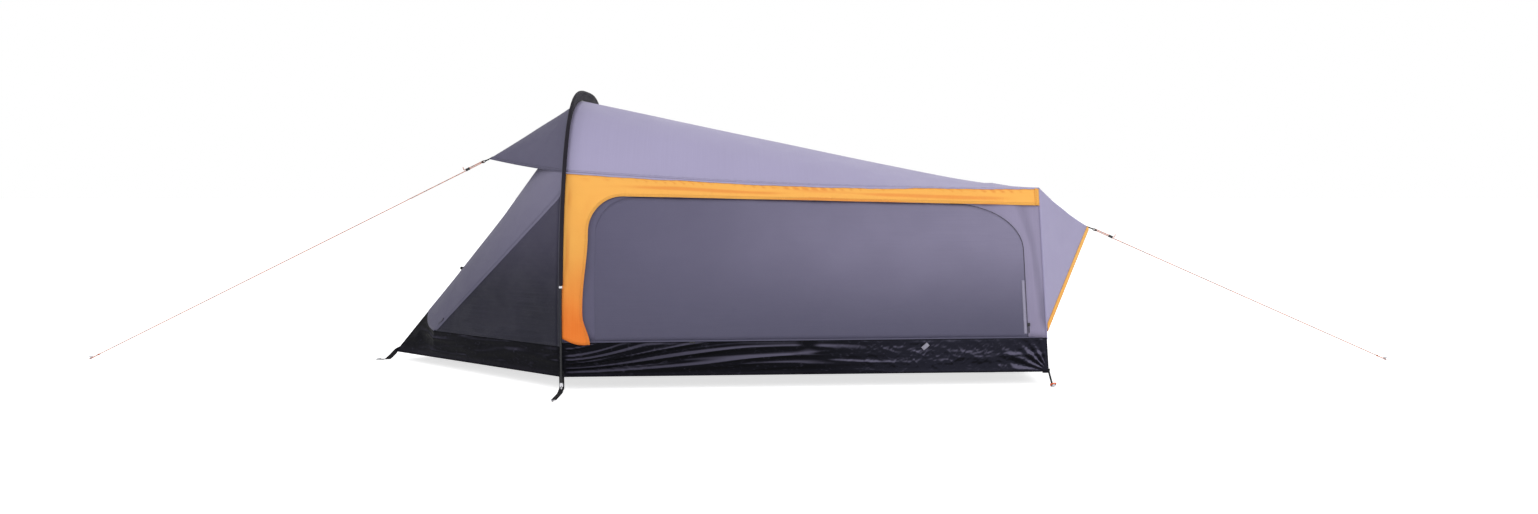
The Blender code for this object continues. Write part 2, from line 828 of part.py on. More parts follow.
def hood_point(across, t):
    """Point of the hood: across from -1 at the near edge to 1 at the far one, t out to the tip."""
    start = arch_point(roof_angle(across), FLY_HALF_WIDTH, FLY_HEIGHT)
    start.x = -HOOD_SEAM
    place = mix(start, Vector(HOOD_TIP), t)
    place.z -= HOOD_SAG * math.sin(math.pi * t)
    return place


def build_hood():
    """The dark hood over the porch."""

    def point(u, v):
        return hood_point(2 * u - 1, 0.985 * v)

    sheet("hood", ARCH_COLUMNS, 6, point, "hood", inside=(-0.1, 0.0, 0.5))


def crease_point(share):
    """Point of the rear crease: 0 at the beak's foot, 0.6 at the top corner, 1 at the ridge."""
    start = FOLD_SEAM
    if share <= 0.6:
        height = mix(BEAK_FOOT_HEIGHT, REAR_TOP_HEIGHT, share / 0.6)
        return Vector((rear_x(height) + start, -rear_half_width(height), height))
    inward = (share - 0.6) / 0.4
    height = REAR_TOP_HEIGHT + REAR_CROWN * inward
    return Vector((REAR_TOP_X + start, -REAR_TOP_HALF_WIDTH * (1 - inward), height))


def beak_point(across, t):
    """Point of the beak: across from -1 at the near binding to 1 at the far one, t out to the tip."""
    side = -1.0 if across < 0 else 1.0
    share = 1 - abs(across)
    place = mix(crease_point(share), Vector(BEAK_TIP), t)
    place.z -= BEAK_SAG * 4 * t * (1 - t) * smooth(share / 0.6)
    return flipped(place, side)


def build_beak():
    """The beak behind the rear corners and the orange binding along its two rear edges."""

    def surface(u, v):
        return beak_point(2 * u - 1, 0.98 * v)

    sheet("beak", 20, 6, surface, "roof", inside=(1.9, 0.0, 0.4))
    edge_length = (crease_point(0.6) - crease_point(0.0)).length / 0.6
    for side_name, side in SIDES.items():

        def point(u, v, side=side):
            t = mix(0.01, BINDING_END, u)
            share = v * BINDING_WIDTH / (edge_length * (1 - t))
            edge = beak_point(-1.0, t)
            inner = beak_point(share - 1.0, t)
            forwards = beak_point(-1.0, t + 0.01) - edge
            out = forwards.cross(beak_point(share - 0.99, t) - inner).normalized()
            if out.y > 0:
                out = -out
            return flipped(inner + out * (2 * CLEARANCE + BINDING_THICKNESS), side)

        inside = (1.9, 0.0, 0.5)
        sheet("beak_binding_" + side_name, 8, 1, point, "orange", inside, BINDING_THICKNESS)


# Poles


def pole_path(count):
    """Points of the pole's centre line, evenly spaced in length, and that length."""
    foot = arch_angle(TIP_TOP, POLE_HEIGHT)
    angles = [mix(foot, math.pi - foot, k / 720) for k in range(721)]
    fine = [arch_point(angle, POLE_HALF_WIDTH, POLE_HEIGHT) for angle in angles]
    length = sum((b - a).length for a, b in zip(fine, fine[1:]))
    return spaced(fine, length / count), length


def build_pole():
    """The arch pole's tubes, each with a spigot that fits the next, the elastic and the end tips."""
    per_section = 7
    points, length = pole_path(POLE_SECTION_COUNT * per_section)
    step = length / (POLE_SECTION_COUNT * per_section)
    spigot = (BORE_RADIUS - CLEARANCE) / POLE_RADIUS
    neck = POLE_WALL
    for number in range(POLE_SECTION_COUNT):
        first = number * per_section
        run = list(points[first : first + per_section + 1])
        if number:
            run[0] = mix(run[0], run[1], CLEARANCE / step)
        radii = [1.0] * len(run)
        if number < POLE_SECTION_COUNT - 1:
            ahead = points[first + per_section + 1]
            direction = (ahead - run[-1]).normalized()
            run.append(run[-1] + direction * neck)
            run.append(run[-2] + direction * FERRULE_LENGTH * 0.5)
            run.append(run[-3] + direction * FERRULE_LENGTH)
            radii += [spigot, spigot, spigot]
            run[-4], run[-3] = run[-4] - direction * neck, run[-4]
        data = curve_data("arch_pole_section_" + str(number + 1), run, POLE_RADIUS, False, radii)
        thing = add_object("arch_pole_section_" + str(number + 1), data, "pole")
        wall = thing.modifiers.new("wall", "SOLIDIFY")
        wall.thickness = POLE_WALL
        wall.offset = -1.0
    rise = Vector((0.0, 0.0, TIP_PLUG_LENGTH + CLEARANCE))
    cord = [points[0] + rise] + points[1:-1] + [points[-1] + rise]
    add_object("pole_shock_cord", curve_data("pole_shock_cord", cord, SHOCK_CORD_RADIUS), "elastic")
    plug = BORE_RADIUS * math.cos(math.pi / TUBE_SIDES) - 2 * CLEARANCE
    profile = [
        (0.0, TIP_PLUG_LENGTH),
        (plug, TIP_PLUG_LENGTH),
        (plug, -CLEARANCE),
        (TIP_COLLAR_RADIUS, -CLEARANCE),
        (TIP_COLLAR_RADIUS, -CLEARANCE - TIP_COLLAR_LENGTH),
        (TIP_STEM_RADIUS, -CLEARANCE - TIP_COLLAR_LENGTH),
        (TIP_STEM_RADIUS, TIP_GROUND_GAP + TIP_STEM_RADIUS / 2 - TIP_TOP),
        (TIP_STEM_RADIUS / 2, TIP_GROUND_GAP - TIP_TOP),
        (0.0, TIP_GROUND_GAP - TIP_TOP),
    ]
    for side_name, side in SIDES.items():
        foot = flipped(points[0], side)
        turned("pole_tip_" + side_name, profile, "tip", (foot.x, foot.y, TIP_TOP))


def sleeve_section(angle):
    """Seam of the sleeve on the fly's arch, the outward direction and the way out to the pole."""
    seam = arch_point(angle, FLY_HALF_WIDTH, FLY_HEIGHT)
    outward = arch_outward(angle, FLY_HALF_WIDTH, FLY_HEIGHT)
    low, high = 0.0, 2 * FIN_HEIGHT
    for _ in range(40):
        depth = (low + high) / 2
        if arch_level(seam + outward * depth, POLE_HALF_WIDTH, POLE_HEIGHT) < 0:
            low = depth
        else:
            high = depth
    return seam, outward, depth


def build_sleeve():
    """The pole's sleeve, from one clip over the top to the other, with a fin down to the fly."""
    foot = arch_angle(SLEEVE_END_HEIGHT, FLY_HEIGHT)
    side_steps = 7
    angles = [mix(foot, eave_angle(), k / side_steps) for k in range(side_steps)]
    angles += [roof_angle(2 * k / ARCH_COLUMNS - 1) for k in range(ARCH_COLUMNS // 2)]
    angles += [math.pi / 2] + [math.pi - angle for angle in reversed(angles)]
    around = 10

    def point(u, v):
        seam, outward, depth = sleeve_section(listed(angles, v))
        turn = math.tau * (round(u * around) + 0.5) / around
        x = SLEEVE_RADIUS * math.sin(turn)
        out = depth + SLEEVE_RADIUS * math.cos(turn)
        if math.cos(turn) < -0.9:
            x = math.copysign(1.5 * SLEEVE_CLOTH, x)
            out = 2 * CLEARANCE
        return seam + outward * out + Vector((x, 0.0, 0.0))

    mesh = bmesh.new()
    add_patch(mesh, around, len(angles) - 1, point)
    bmesh.ops.remove_doubles(mesh, verts=mesh.verts, dist=1e-6)
    data = bpy.data.meshes.new("pole_sleeve")
    mesh.to_mesh(data)
    mesh.free()
    data.shade_smooth()
    thing = add_object("pole_sleeve", data, "sleeve")
    shell = thing.modifiers.new("thickness", "SOLIDIFY")
    shell.thickness = SLEEVE_CLOTH
    shell.offset = -1.0


def build_struts():
    """The short rods inside the rear corners."""
    back = 2 * CLOTH + 2 * CLEARANCE + STRUT_RADIUS
    inset = WALL_INSET + CLOTH + CLEARANCE + STRUT_RADIUS
    for side_name, side in SIDES.items():
        ends = []
        for height in (HEM_HEIGHT, REAR_TOP_HEIGHT - 2 * FOLD_SEAM):
            half = rear_half_width(height) - inset
            ends.append(Vector((rear_x(height) - back, side * half, height)))
        path = [mix(ends[0], ends[1], k / 3) for k in range(4)]
        name = "corner_strut_" + side_name
        add_object(name, curve_data(name, path, STRUT_RADIUS), "rod")


# Straps, rings, pegs and guylines


def peg(name, place, seat):
    """A straight peg whose head rests just above seat."""
    head = seat + CLEARANCE
    profile = [
        (0.0, head + PEG_HEAD_HEIGHT),
        (PEG_HEAD_RADIUS, head + PEG_HEAD_HEIGHT),
        (PEG_HEAD_RADIUS, head),
        (PEG_RADIUS, head),
        (PEG_RADIUS, PEG_POINT_LENGTH - PEG_DEPTH),
        (0.0, -PEG_DEPTH),
    ]
    turned(name, profile, "peg", (place[0], place[1], 0.0))


def build_arch_straps():
    """The webbing at each foot of the arch: sewn to the hem, pierced by the tip, pegged outside."""
    ground = CLEARANCE + STRAP_THICKNESS / 2
    hem_half = arch_half_width(HEM_HEIGHT)
    for side_name, side in SIDES.items():
        hang = hem_half + CLEARANCE + STRAP_THICKNESS
        seat = TIP_GROUND_GAP + 2 * TIP_STEM_RADIUS
        end = POLE_HALF_WIDTH + ARCH_STRAP_REACH
        corners = [
            (hang, HEM_HEIGHT + STRAP_SEWN_LENGTH),
            (hang, seat),
            (POLE_HALF_WIDTH + 2.5 * TIP_STEM_RADIUS, seat),
            (POLE_HALF_WIDTH + 10 * TIP_STEM_RADIUS, ground),
            (end, ground),
        ]
        path = bent_path([Vector((0.0, side * y, z)) for y, z in corners], TIP_STEM_RADIUS)
        path = path[:-1] + [mix(path[-2], path[-1], share) for share in (0.4, 0.8, 0.93, 0.97, 1.0)]
        name = "arch_foot_strap_" + side_name
        strap = ribbon(name, path, STRAP_HALF_WIDTH, (1, 0, 0), "strap")
        eyelet = (0.0, side * POLE_HALF_WIDTH, seat)
        cut(strap, cylinder_cutter(name + "_eyelet", eyelet, TIP_STEM_RADIUS + CLEARANCE, 0.02), "eyelet")
        peg_y = side * (end - PEG_STRAP_INSET)
        hole = cylinder_cutter(name + "_hole", (0.0, peg_y, ground), PEG_RADIUS + CLEARANCE, 0.02)
        cut(strap, hole, "peg_hole")
        peg("peg_arch_" + side_name, (0.0, peg_y), ground + STRAP_THICKNESS / 2)


def build_front_strap():
    """The webbing at the porch's tip and its peg."""
    ground = CLEARANCE + STRAP_THICKNESS / 2
    slope = Vector((PANEL_FOOT_X - FRONT_TIP_X, 0.0, PANEL_FOOT_HEIGHT - FRONT_TIP_HEIGHT)).normalized()
    normal = Vector((-slope.z, 0.0, slope.x))
    tip = Vector((FRONT_TIP_X, 0.0, FRONT_TIP_HEIGHT)) + normal * (CLEARANCE + STRAP_THICKNESS)
    end = FRONT_TIP_X - FRONT_STRAP_REACH
    corners = [
        tip + slope * STRAP_SEWN_LENGTH,
        tip - slope * STRAP_HALF_WIDTH,
        Vector((FRONT_TIP_X - FRONT_TIP_HEIGHT, 0.0, ground)),
        Vector((end, 0.0, ground)),
    ]
    path = bent_path(corners, STRAP_HALF_WIDTH)
    path = path[:-1] + [mix(path[-2], path[-1], share) for share in (0.4, 0.8, 0.9, 0.96, 1.0)]
    strap = ribbon("front_strap", path, STRAP_HALF_WIDTH, (0, 1, 0), "strap")
    place = (end + PEG_STRAP_INSET, 0.0)
    hole = cylinder_cutter("front_strap_hole", (*place, ground), PEG_RADIUS + CLEARANCE, 0.02)
    cut(strap, hole, "peg_hole")
    peg("peg_front", place, ground + STRAP_THICKNESS / 2)


def build_rear_corner(side_name, side):
    """The strap below a rear corner, its orange ring and the peg in the ring."""
    corner = Vector((REAR_FOOT_X, side * REAR_FOOT_HALF_WIDTH, HEM_HEIGHT))
    heading = Vector((RING_BACK, side * RING_OUT, 0.0)).normalized()
    centre = corner + Vector((RING_BACK, side * RING_OUT, 0.0))
    bow = (RING_RADIUS - math.sqrt(RING_RADIUS**2 - REAR_STRAP_HALF_WIDTH**2)) / 2
    wrap = RING_WIRE + 2 * CLEARANCE + STRAP_THICKNESS / 2 + bow
    centre.z = wrap + STRAP_THICKNESS / 2 + CLEARANCE
    bpy.ops.mesh.primitive_torus_add(
        major_segments=16, minor_segments=8, major_radius=RING_RADIUS, minor_radius=RING_WIRE, location=centre
    )
    ring = bpy.context.object
    ring.name = "corner_ring_" + side_name
    ring.data.shade_smooth()
    ring.data.materials.append(material(ring.name, "ring"))
    for owner in list(ring.users_collection):
        owner.objects.unlink(ring)
    TENT.objects.link(ring)
    wire = centre - heading * (RING_RADIUS - bow)
    off = CLEARANCE + STRAP_THICKNESS
    sewn = corner + Vector((0.0, side * off, 3 * REAR_STRAP_HALF_WIDTH))
    below = corner + Vector((0.0, side * off, -REAR_STRAP_HALF_WIDTH / 2))
    lean = (below - wire).normalized()
    first = (heading - lean * heading.dot(lean)).normalized()
    angles = [math.pi * k / 6 for k in range(7)]
    turns = [wire + (first * math.cos(a) - lean * math.sin(a)) * wrap for a in angles]
    back = turns[-1] + lean * (RING_RADIUS - REAR_STRAP_HALF_WIDTH / 2)
    path = [sewn, below] + turns + [back]
    across = Vector((-heading.y, heading.x, 0.0))
    name = "rear_corner_strap_" + side_name
    ribbon(name, path, REAR_STRAP_HALF_WIDTH, across, "strap", round_end=False)
    place = centre + heading * (RING_RADIUS - RING_WIRE - CLEARANCE - PEG_RADIUS)
    peg("peg_rear_" + side_name, (place.x, place.y), centre.z + RING_WIRE)


def guy_points(anchor, peg_x):
    """Direction of a guyline down from its loop, the direction square to it, up, and its length."""
    down = Vector((peg_x, 0.0, GUY_PEG_LOOP_HEIGHT)) - anchor
    heading = down.normalized()
    outward = Vector((-heading.z, 0.0, heading.x))
    if outward.z < 0:
        outward = -outward
    return heading, outward, down.length


def curve_through(points, step):
    """Smooth curve through a route, with a point about every step but few on long straights."""
    padded = [2 * points[0] - points[1]] + points + [2 * points[-1] - points[-2]]
    path = []
    for a, b, c, d in zip(padded, padded[1:], padded[2:], padded[3:]):
        run = (c - b).length
        count = 2 if run > 10 * step else max(1, min(4, round(run / step)))
        pull_b = (c - a).normalized() * run
        pull_c = (d - b).normalized() * run
        for k in range(count):
            t = k / count
            path.append(
                b * (2 * t**3 - 3 * t**2 + 1)
                + pull_b * (t**3 - 2 * t**2 + t)
                + c * (3 * t**2 - 2 * t**3)
                + pull_c * (t**3 - t**2)
            )
    path.append(points[-1])
    return path


def guyline_path(anchor, peg_x):
    """Centre line of a guyline: from the peg up to the loop, round and back to the runner."""
    heading, outward, length = guy_points(anchor, peg_x)
    turn = PEG_RADIUS + CORD_RADIUS + CLEARANCE
    foot = Vector((peg_x, 0.0, GUY_PEG_LOOP_HEIGHT))
    flat = Vector((heading.x, 0.0, 0.0)).normalized()
    side = Vector((0.0, 1.0, 0.0))
    apart = side * (CORD_RADIUS + CLEARANCE)
    knot = foot - heading * GUY_LOOP_LENGTH
    route = [knot - heading * (4 * CORD_RADIUS) + 2 * apart, knot + 1.8 * apart]
    turns = 4
    for k in range(turns + 1):
        angle = math.pi * k / turns
        route.append(foot + side * turn * math.cos(angle) + flat * turn * math.sin(angle))
    route.append(knot - 0.2 * apart)
    lower = RUNNER_DISTANCE + RUNNER_LENGTH
    strand = outward * RUNNER_STRAND_OFFSET
    run = length - GUY_LOOP_LENGTH - lower
    for k in (1, 2, 3, 4):
        route.append(anchor + heading * (lower + run * (1 - k / 5)) - strand * (k / 5))
    route.append(anchor + heading * (lower + RUNNER_LENGTH) - strand)
    route.append(anchor + heading * lower - strand)
    route.append(anchor + heading * RUNNER_DISTANCE - strand)
    route.append(anchor + heading * LOOP_BEYOND_CORD - strand)
    for k in range(turns + 1):
        angle = math.pi * (k / turns - 0.5)
        route.append(anchor + (outward * math.sin(angle) - heading * math.cos(angle)) * RUNNER_STRAND_OFFSET)
    route.append(anchor + heading * LOOP_BEYOND_CORD + strand)
    route.append(anchor + heading * RUNNER_DISTANCE + strand)
    route.append(anchor + heading * lower + strand)
    tail = anchor + heading * (lower + TAIL_LENGTH / 2) + strand * 1.4
    route.append(tail)
    route.append(tail + outward * TAIL_LENGTH)
    return curve_through(route, 4 * CORD_RADIUS)


def build_guyline(end_name, loop_name, anchor, sewn, peg_x):
    """A guyline, its runner, its peg and the webbing loop that it passes through.

    anchor is the middle of the cord's turn in the loop, and sewn the loop's path on the cloth.
    """
    corners = guyline_path(anchor, peg_x)
    heading, outward, length = guy_points(anchor, peg_x)
    name = "guyline_" + end_name
    add_object(name, curve_data(name, corners, CORD_RADIUS), "cord")
    saw = tube_cutter(name + "_cutter", corners, CORD_RADIUS + CLEARANCE)
    end = anchor + heading * LOOP_BEYOND_CORD
    path = sewn + [mix(sewn[-1], end, k / 4) for k in (2, 3, 4)]
    loop = ribbon(loop_name, path, LOOP_HALF_WIDTH, (0, 1, 0), "strap", round_end=False)
    cut(loop, saw, "cord_hole")
    mesh = bmesh.new()
    bmesh.ops.create_cube(mesh, size=1.0)
    centre = anchor + heading * (RUNNER_DISTANCE + RUNNER_LENGTH / 2)
    for vertex in mesh.verts:
        place = vertex.co.copy()
        vertex.co = (
            heading * (place.x * RUNNER_LENGTH)
            + Vector((0.0, 1.0, 0.0)) * (place.y * 2 * RUNNER_HALF_WIDTH)
            + outward * (place.z * 2 * RUNNER_HALF_HEIGHT)
        )
    bmesh.ops.recalc_face_normals(mesh, faces=mesh.faces)
    data = bpy.data.meshes.new("runner_" + end_name)
    mesh.to_mesh(data)
    mesh.free()
    runner = add_object("runner_" + end_name, data, "runner")
    runner.location = centre
    edge = runner.modifiers.new("edges", "BEVEL")
    edge.width = RUNNER_HALF_WIDTH / 3
    edge.segments = 2
    cut(runner, saw, "bores")
    slope = abs(heading.z / heading.x)
    seat = GUY_PEG_LOOP_HEIGHT + PEG_HEAD_RADIUS * slope + CORD_RADIUS * math.sqrt(1 + slope**2)
    peg("peg_guy_" + end_name, (peg_x, 0.0), seat)


def build_guylines():
    """Both guylines."""
    lift = STRAP_THICKNESS / 2 + 3 * CLEARANCE
    ends = (
        ("front", "hood_loop", hood_point, FRONT_GUY_PEG_X),
        ("rear", "beak_loop", beak_point, REAR_GUY_PEG_X),
    )
    for end_name, loop_name, ridge, peg_x in ends:
        tip = ridge(0.0, 1.0)
        before = ridge(0.0, 1.0 - LOOP_SEWN_LENGTH / (ridge(0.0, 0.0) - tip).length)
        along = (tip - before).normalized()
        up = Vector((-along.z, 0.0, along.x))
        if up.z < 0:
            up = -up
        heading, outward, _ = guy_points(tip, peg_x)
        sewn = [before + up * lift, tip + up * lift]
        build_guyline(end_name, loop_name, sewn[1] + heading * LOOP_LENGTH, sewn, peg_x)


# Zip sliders


def slider(name, place, along, outward):
    """A zip slider with its pull, standing just off the cloth at place."""
    along = along.normalized()
    outward = (outward - along * outward.dot(along)).normalized()
    across = along.cross(outward)
    reach = SLIDER_PULL_OVERLAP - (SLIDER_LENGTH + SLIDER_PULL_LENGTH) / 2
    boxes = [
        ((0.0, 0.0), (SLIDER_LENGTH, SLIDER_WIDTH, SLIDER_HEIGHT)),
        ((reach, SLIDER_HEIGHT / 4), (SLIDER_PULL_LENGTH, SLIDER_WIDTH / 3, SLIDER_HEIGHT / 3)),
    ]
    meshes = []
    for (forwards, up), (length, width, height) in boxes:
        mesh = bmesh.new()
        bmesh.ops.create_cube(mesh, size=1.0)
        for vertex in mesh.verts:
            x, y, z = vertex.co
            vertex.co = (
                along * (x * length + forwards) + across * (y * width) + outward * (z * height + up)
            )
        bmesh.ops.recalc_face_normals(mesh, faces=mesh.faces)
        data = bpy.data.meshes.new(name)
        mesh.to_mesh(data)
        mesh.free()
        meshes.append(data)
    body = add_object(name, meshes[0], "runner")
    pull = add_cutter(name + "_pull", meshes[1])
    body.location = pull.location = place + outward * (CLEARANCE * 2 + SLIDER_HEIGHT / 2)
    join = body.modifiers.new("pull", "BOOLEAN")
    join.operation = "UNION"
    join.solver = "EXACT"
    join.object = pull


def build_sliders():
    """Sliders at the closed ends of the porch zips and of the side door zips."""
    top, foot, _ = zip_points()
    up = (top - foot).normalized()
    ridge = arch_point(roof_angle(-0.8), FLY_HALF_WIDTH, FLY_HEIGHT)
    inwards = mix(ridge, Vector((PANEL_FOOT_X, 0.0, PANEL_FOOT_HEIGHT)), 0.5) - mix(top, foot, 0.5)
    normal = up.cross(inwards).normalized()
    if normal.x > 0:
        normal = -normal
    beside = normal.cross(up).normalized()
    if beside.dot(inwards) < 0:
        beside = -beside
    start = mix(foot, top, 0.08) + beside * (SLIDER_WIDTH / 2 + CLEARANCE)
    for side_name, side in SIDES.items():
        turned_over = [flipped(vector, side) for vector in (start, up, normal)]
        slider("zip_slider_front_" + side_name, *turned_over)
        edge = 1.0 - along_share(DOOR_REAR_MARGIN - SLIDER_WIDTH / 2 - CLEARANCE)
        low = wall_point(edge, DOOR_BOTTOM + 0.05, side, WALL_INSET)
        high = wall_point(edge, DOOR_BOTTOM + 0.30, side, WALL_INSET)
        slider("zip_slider_side_" + side_name, low, high - low, Vector((0.07, side, 0.10)))


# Inner tent


def inner_x(s, height):
    """X of the inner tent's section s at a height."""
    rise = (height - TUB_HEIGHT) / (INNER_RIDGE_FRONT - TUB_HEIGHT)
    front = INNER_FRONT_X + INNER_FRONT_SLOPE * max(0.0, rise)
    rear = INNER_REAR_X - INNER_REAR_SLOPE * max(0.0, rise)
    return mix(front, rear, s)


def inner_half_width(s):
    """Half width of the inner tent's floor at section s."""
    return mix(INNER_FRONT_HALF_WIDTH, INNER_REAR_HALF_WIDTH, s)


def inner_eave(s):
    """Height of the inner tent's eave."""
    return mix(INNER_EAVE_FRONT, INNER_EAVE_REAR, s)


def inner_wall_point(s, height, side, inset=0.0):
    """Point of the inner tent's side wall."""
    rise = (height - TUB_HEIGHT) / (inner_eave(s) - TUB_HEIGHT)
    half = inner_half_width(s) + TUB_LEAN - INNER_EAVE_LEAN * rise - inset
    return Vector((inner_x(s, height), side * half, height))


def inner_roof_point(s, angle):
    """Point of the inner tent's roof, with angle from 0 at the near eave to pi at the far one."""
    half = inner_half_width(s) + TUB_LEAN - INNER_EAVE_LEAN
    low = inner_eave(s)
    height = low + (mix(INNER_RIDGE_FRONT, INNER_RIDGE_REAR, s) - low) * math.sin(angle)
    return Vector((inner_x(s, height), -half * math.cos(angle), height))


INNER_COUNTS = (3, 4, 6)


def inner_door_outline(gap):
    """Outline of the inner doorway, smaller by gap."""
    corner = (along_share(INNER_DOOR_CORNER), INNER_DOOR_CORNER)
    bottom = TUB_HEIGHT + INNER_DOOR_SILL + gap
    gap_share = along_share(gap)

    def top(s):
        return mix(INNER_DOOR_TOP_FRONT, INNER_DOOR_TOP_REAR, s) - gap

    return corner_outline(
        INNER_DOOR_START + gap_share, INNER_DOOR_END - gap_share, top, corner, corner, INNER_COUNTS, bottom
    )


def build_inner_canopy():
    """The inner tent above its tub: two walls round the doorways, a roof and two end walls."""
    inner = inner_door_outline(0.0)
    bottom = TUB_HEIGHT + SEAM + CLOTH * TUB_LEAN / math.hypot(TUB_LEAN, TUB_HEIGHT)
    outer = frame_outline(inner_eave, inner, INNER_COUNTS, bottom)
    outer[0] = (0.0, bottom)
    leg_heights = [z for s, z in outer if s == 0.0]
    rear_heights = [z for s, z in outer if s == 1.0][::-1]
    eave_stations = [s for s, z in outer if abs(z - inner_eave(s)) < 1e-9]
    across = 8
    mesh = bmesh.new()
    for side in SIDES.values():

        def wall(u, v, side=side):
            s_outer, z_outer = listed(outer, u)
            s_inner, z_inner = listed(inner, u)
            return inner_wall_point(mix(s_outer, s_inner, v), mix(z_outer, z_inner, v), side)

        add_patch(mesh, len(inner) - 1, 1, wall)

        def sill(u, v, side=side):
            s, z = mix_pair((outer[0], outer[-1]), (inner[0], inner[-1]), u, v)
            return inner_wall_point(s, z, side)

        add_patch(mesh, 1, 1, sill)
    add_patch(
        mesh,
        across,
        len(eave_stations) - 1,
        lambda u, v: inner_roof_point(listed(eave_stations, v), math.pi * u),
    )
    for s, heights in ((0.0, leg_heights), (1.0, rear_heights)):

        def end_wall(u, v, s=s, heights=heights):
            angle = math.pi * u
            low = inner_wall_point(s, listed(heights, v), 1.0)
            rise = (low.z - bottom) / (inner_eave(s) - bottom)
            crown = inner_roof_point(s, angle)
            height = low.z + (crown.z - inner_eave(s)) * rise
            return Vector((inner_x(s, height), -low.y * math.cos(angle), height))

        add_patch(mesh, across, len(heights) - 1, end_wall)
    canopy = finish_sheet("inner_canopy", mesh, "inner", MESH_CLOTH, (0.9, 0.0, 0.35))
    hangers = bmesh.new()
    for x in HANGER_PLACES:
        s = x / REAR_TOP_X
        roof = roof_point(s, 0.0).z
        slope = abs(roof_point(s + 0.01, 0.0).z - roof) / (0.01 * REAR_TOP_X)
        high = roof - (CLOTH + CLEARANCE) * math.sqrt(1 + slope**2) - slope * HANGER_WIDTH / 2
        inner_share = (x - INNER_FRONT_X) / (INNER_REAR_X - INNER_FRONT_X)
        low = mix(INNER_RIDGE_FRONT, INNER_RIDGE_REAR, inner_share) - HANGER_WIDTH
        made = bmesh.ops.create_cube(hangers, size=1.0)
        for vertex in made["verts"]:
            vertex.co.x = x + vertex.co.x * HANGER_WIDTH
            vertex.co.y = vertex.co.y * MESH_CLOTH
            vertex.co.z = mix(low, high, vertex.co.z + 0.5)
    data = bpy.data.meshes.new("inner_hangers")
    hangers.to_mesh(data)
    hangers.free()
    join = canopy.modifiers.new("hangers", "BOOLEAN")
    join.operation = "UNION"
    join.solver = "EXACT"
    join.object = add_cutter("inner_hangers", data)


def build_inner_door(side_name, side):
    """The inner door, hung on its lower edge."""
    legs, turns, tops = INNER_COUNTS
    outline = inner_door_outline(SEAM)
    top = outline[legs : legs + 2 * turns + tops + 1]
    bottom = outline[0][1]

    def point(u, v):
        s, z = listed(top, u)
        return inner_wall_point(s, mix(bottom, z, v), side)

    door = sheet("inner_door_" + side_name, len(top) - 1, 4, point, "mesh", thickness=MESH_CLOTH)
    hinge = mix(point(0.0, 0.0), point(1.0, 0.0), 0.5)
    put_origin(door, hinge - Vector((0.0, side * MESH_CLOTH, 0.0)))


def build_groundsheet():
    """The tub floor: flat on the ground, with its rim turned up."""
    columns, rows = 4, 4

    def point(u, v):
        rim = u in (0.0, 1.0) or v in (0.0, 1.0)
        across = min(1.0, max(-1.0, (2 * u - 1) / (1 - 2 / columns)))
        s = min(1.0, max(0.0, (v - 1 / rows) / (1 - 2 / rows)))
        half = inner_half_width(s)
        lean = TUB_LEAN if rim else 0.0
        x = mix(INNER_FRONT_X, INNER_REAR_X, s)
        return Vector((x, across * (half + lean), TUB_HEIGHT if rim else 0.0))

    sheet("groundsheet", columns, rows, point, "floor", inside=(0.9, 0.0, 0.5))


def build_tent():
    """Every piece of the tent."""
    build_roof()
    build_rear()
    build_front_panel()
    build_front_skirt()
    build_hood()
    build_beak()
    build_pole()
    build_sleeve()
    build_struts()
    build_arch_straps()
    build_front_strap()
    build_guylines()
    build_sliders()
    build_inner_canopy()
    build_groundsheet()
    for side_name, side in SIDES.items():
        build_storm_flap(side_name, side)
        build_side_wall(side_name, side)
        build_side_door(side_name, side)
        build_side_skirt(side_name, side)
        build_front_door(side_name, side)
        build_rear_corner(side_name, side)
        build_inner_door(side_name, side)


clear_scene()
TENT = collection("trekking_tent")
CUTTERS = collection("cutters")
build_tent()
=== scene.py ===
"""Looks of a one-pole trekking tent: its cloth, webbing, cords, poles and small fittings.

All sizes are in metres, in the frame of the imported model: X runs from the porch to the foot end,
Y away from the near side and Z up, with the origin on the ground under the middle of the arch.
"""

import logging
from dataclasses import dataclass
from enum import Enum
from math import asin, atan2, copysign, cos, hypot, pi, radians, sin, sqrt, tau
from typing import Any, Callable, Sequence

import bmesh
import bpy
from mathutils import Matrix, Vector, noise


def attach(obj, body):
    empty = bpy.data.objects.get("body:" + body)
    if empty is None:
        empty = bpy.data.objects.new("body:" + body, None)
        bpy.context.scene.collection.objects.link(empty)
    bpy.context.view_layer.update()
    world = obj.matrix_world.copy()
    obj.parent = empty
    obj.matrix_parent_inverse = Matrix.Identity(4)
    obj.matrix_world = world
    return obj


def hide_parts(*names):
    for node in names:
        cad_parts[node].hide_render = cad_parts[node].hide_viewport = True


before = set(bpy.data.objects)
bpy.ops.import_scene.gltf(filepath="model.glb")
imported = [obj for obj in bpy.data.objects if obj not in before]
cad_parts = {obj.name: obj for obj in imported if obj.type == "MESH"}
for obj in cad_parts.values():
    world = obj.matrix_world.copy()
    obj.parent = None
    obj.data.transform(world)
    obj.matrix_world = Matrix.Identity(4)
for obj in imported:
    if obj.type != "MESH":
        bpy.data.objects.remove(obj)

log = logging.getLogger("tent")

Surface = Callable[[float, float], Vector]
Relief = Callable[[float, float], float]
Colour = tuple[float, float, float]
Outline = list[tuple[float, float]]
Profile = tuple[tuple[float, float], ...]
Socket = bpy.types.NodeSocket

ROOT = "tent"
CABIN = (0.9, 0.0, 0.35)
THIN, TAPE = 0.0006, 0.0010
X_AXIS, Y_AXIS, Z_AXIS = Vector((1, 0, 0)), Vector((0, 1, 0)), Vector((0, 0, 1))


class Side(Enum):
    """A side of the tent, with the sign of its Y."""

    NEAR = -1.0
    FAR = 1.0

    @property
    def label(self) -> str:
        """The side's word in the nodes' names."""
        return self.name.lower()


class End(Enum):
    """An end of the tent."""

    FRONT = "front"
    REAR = "rear"


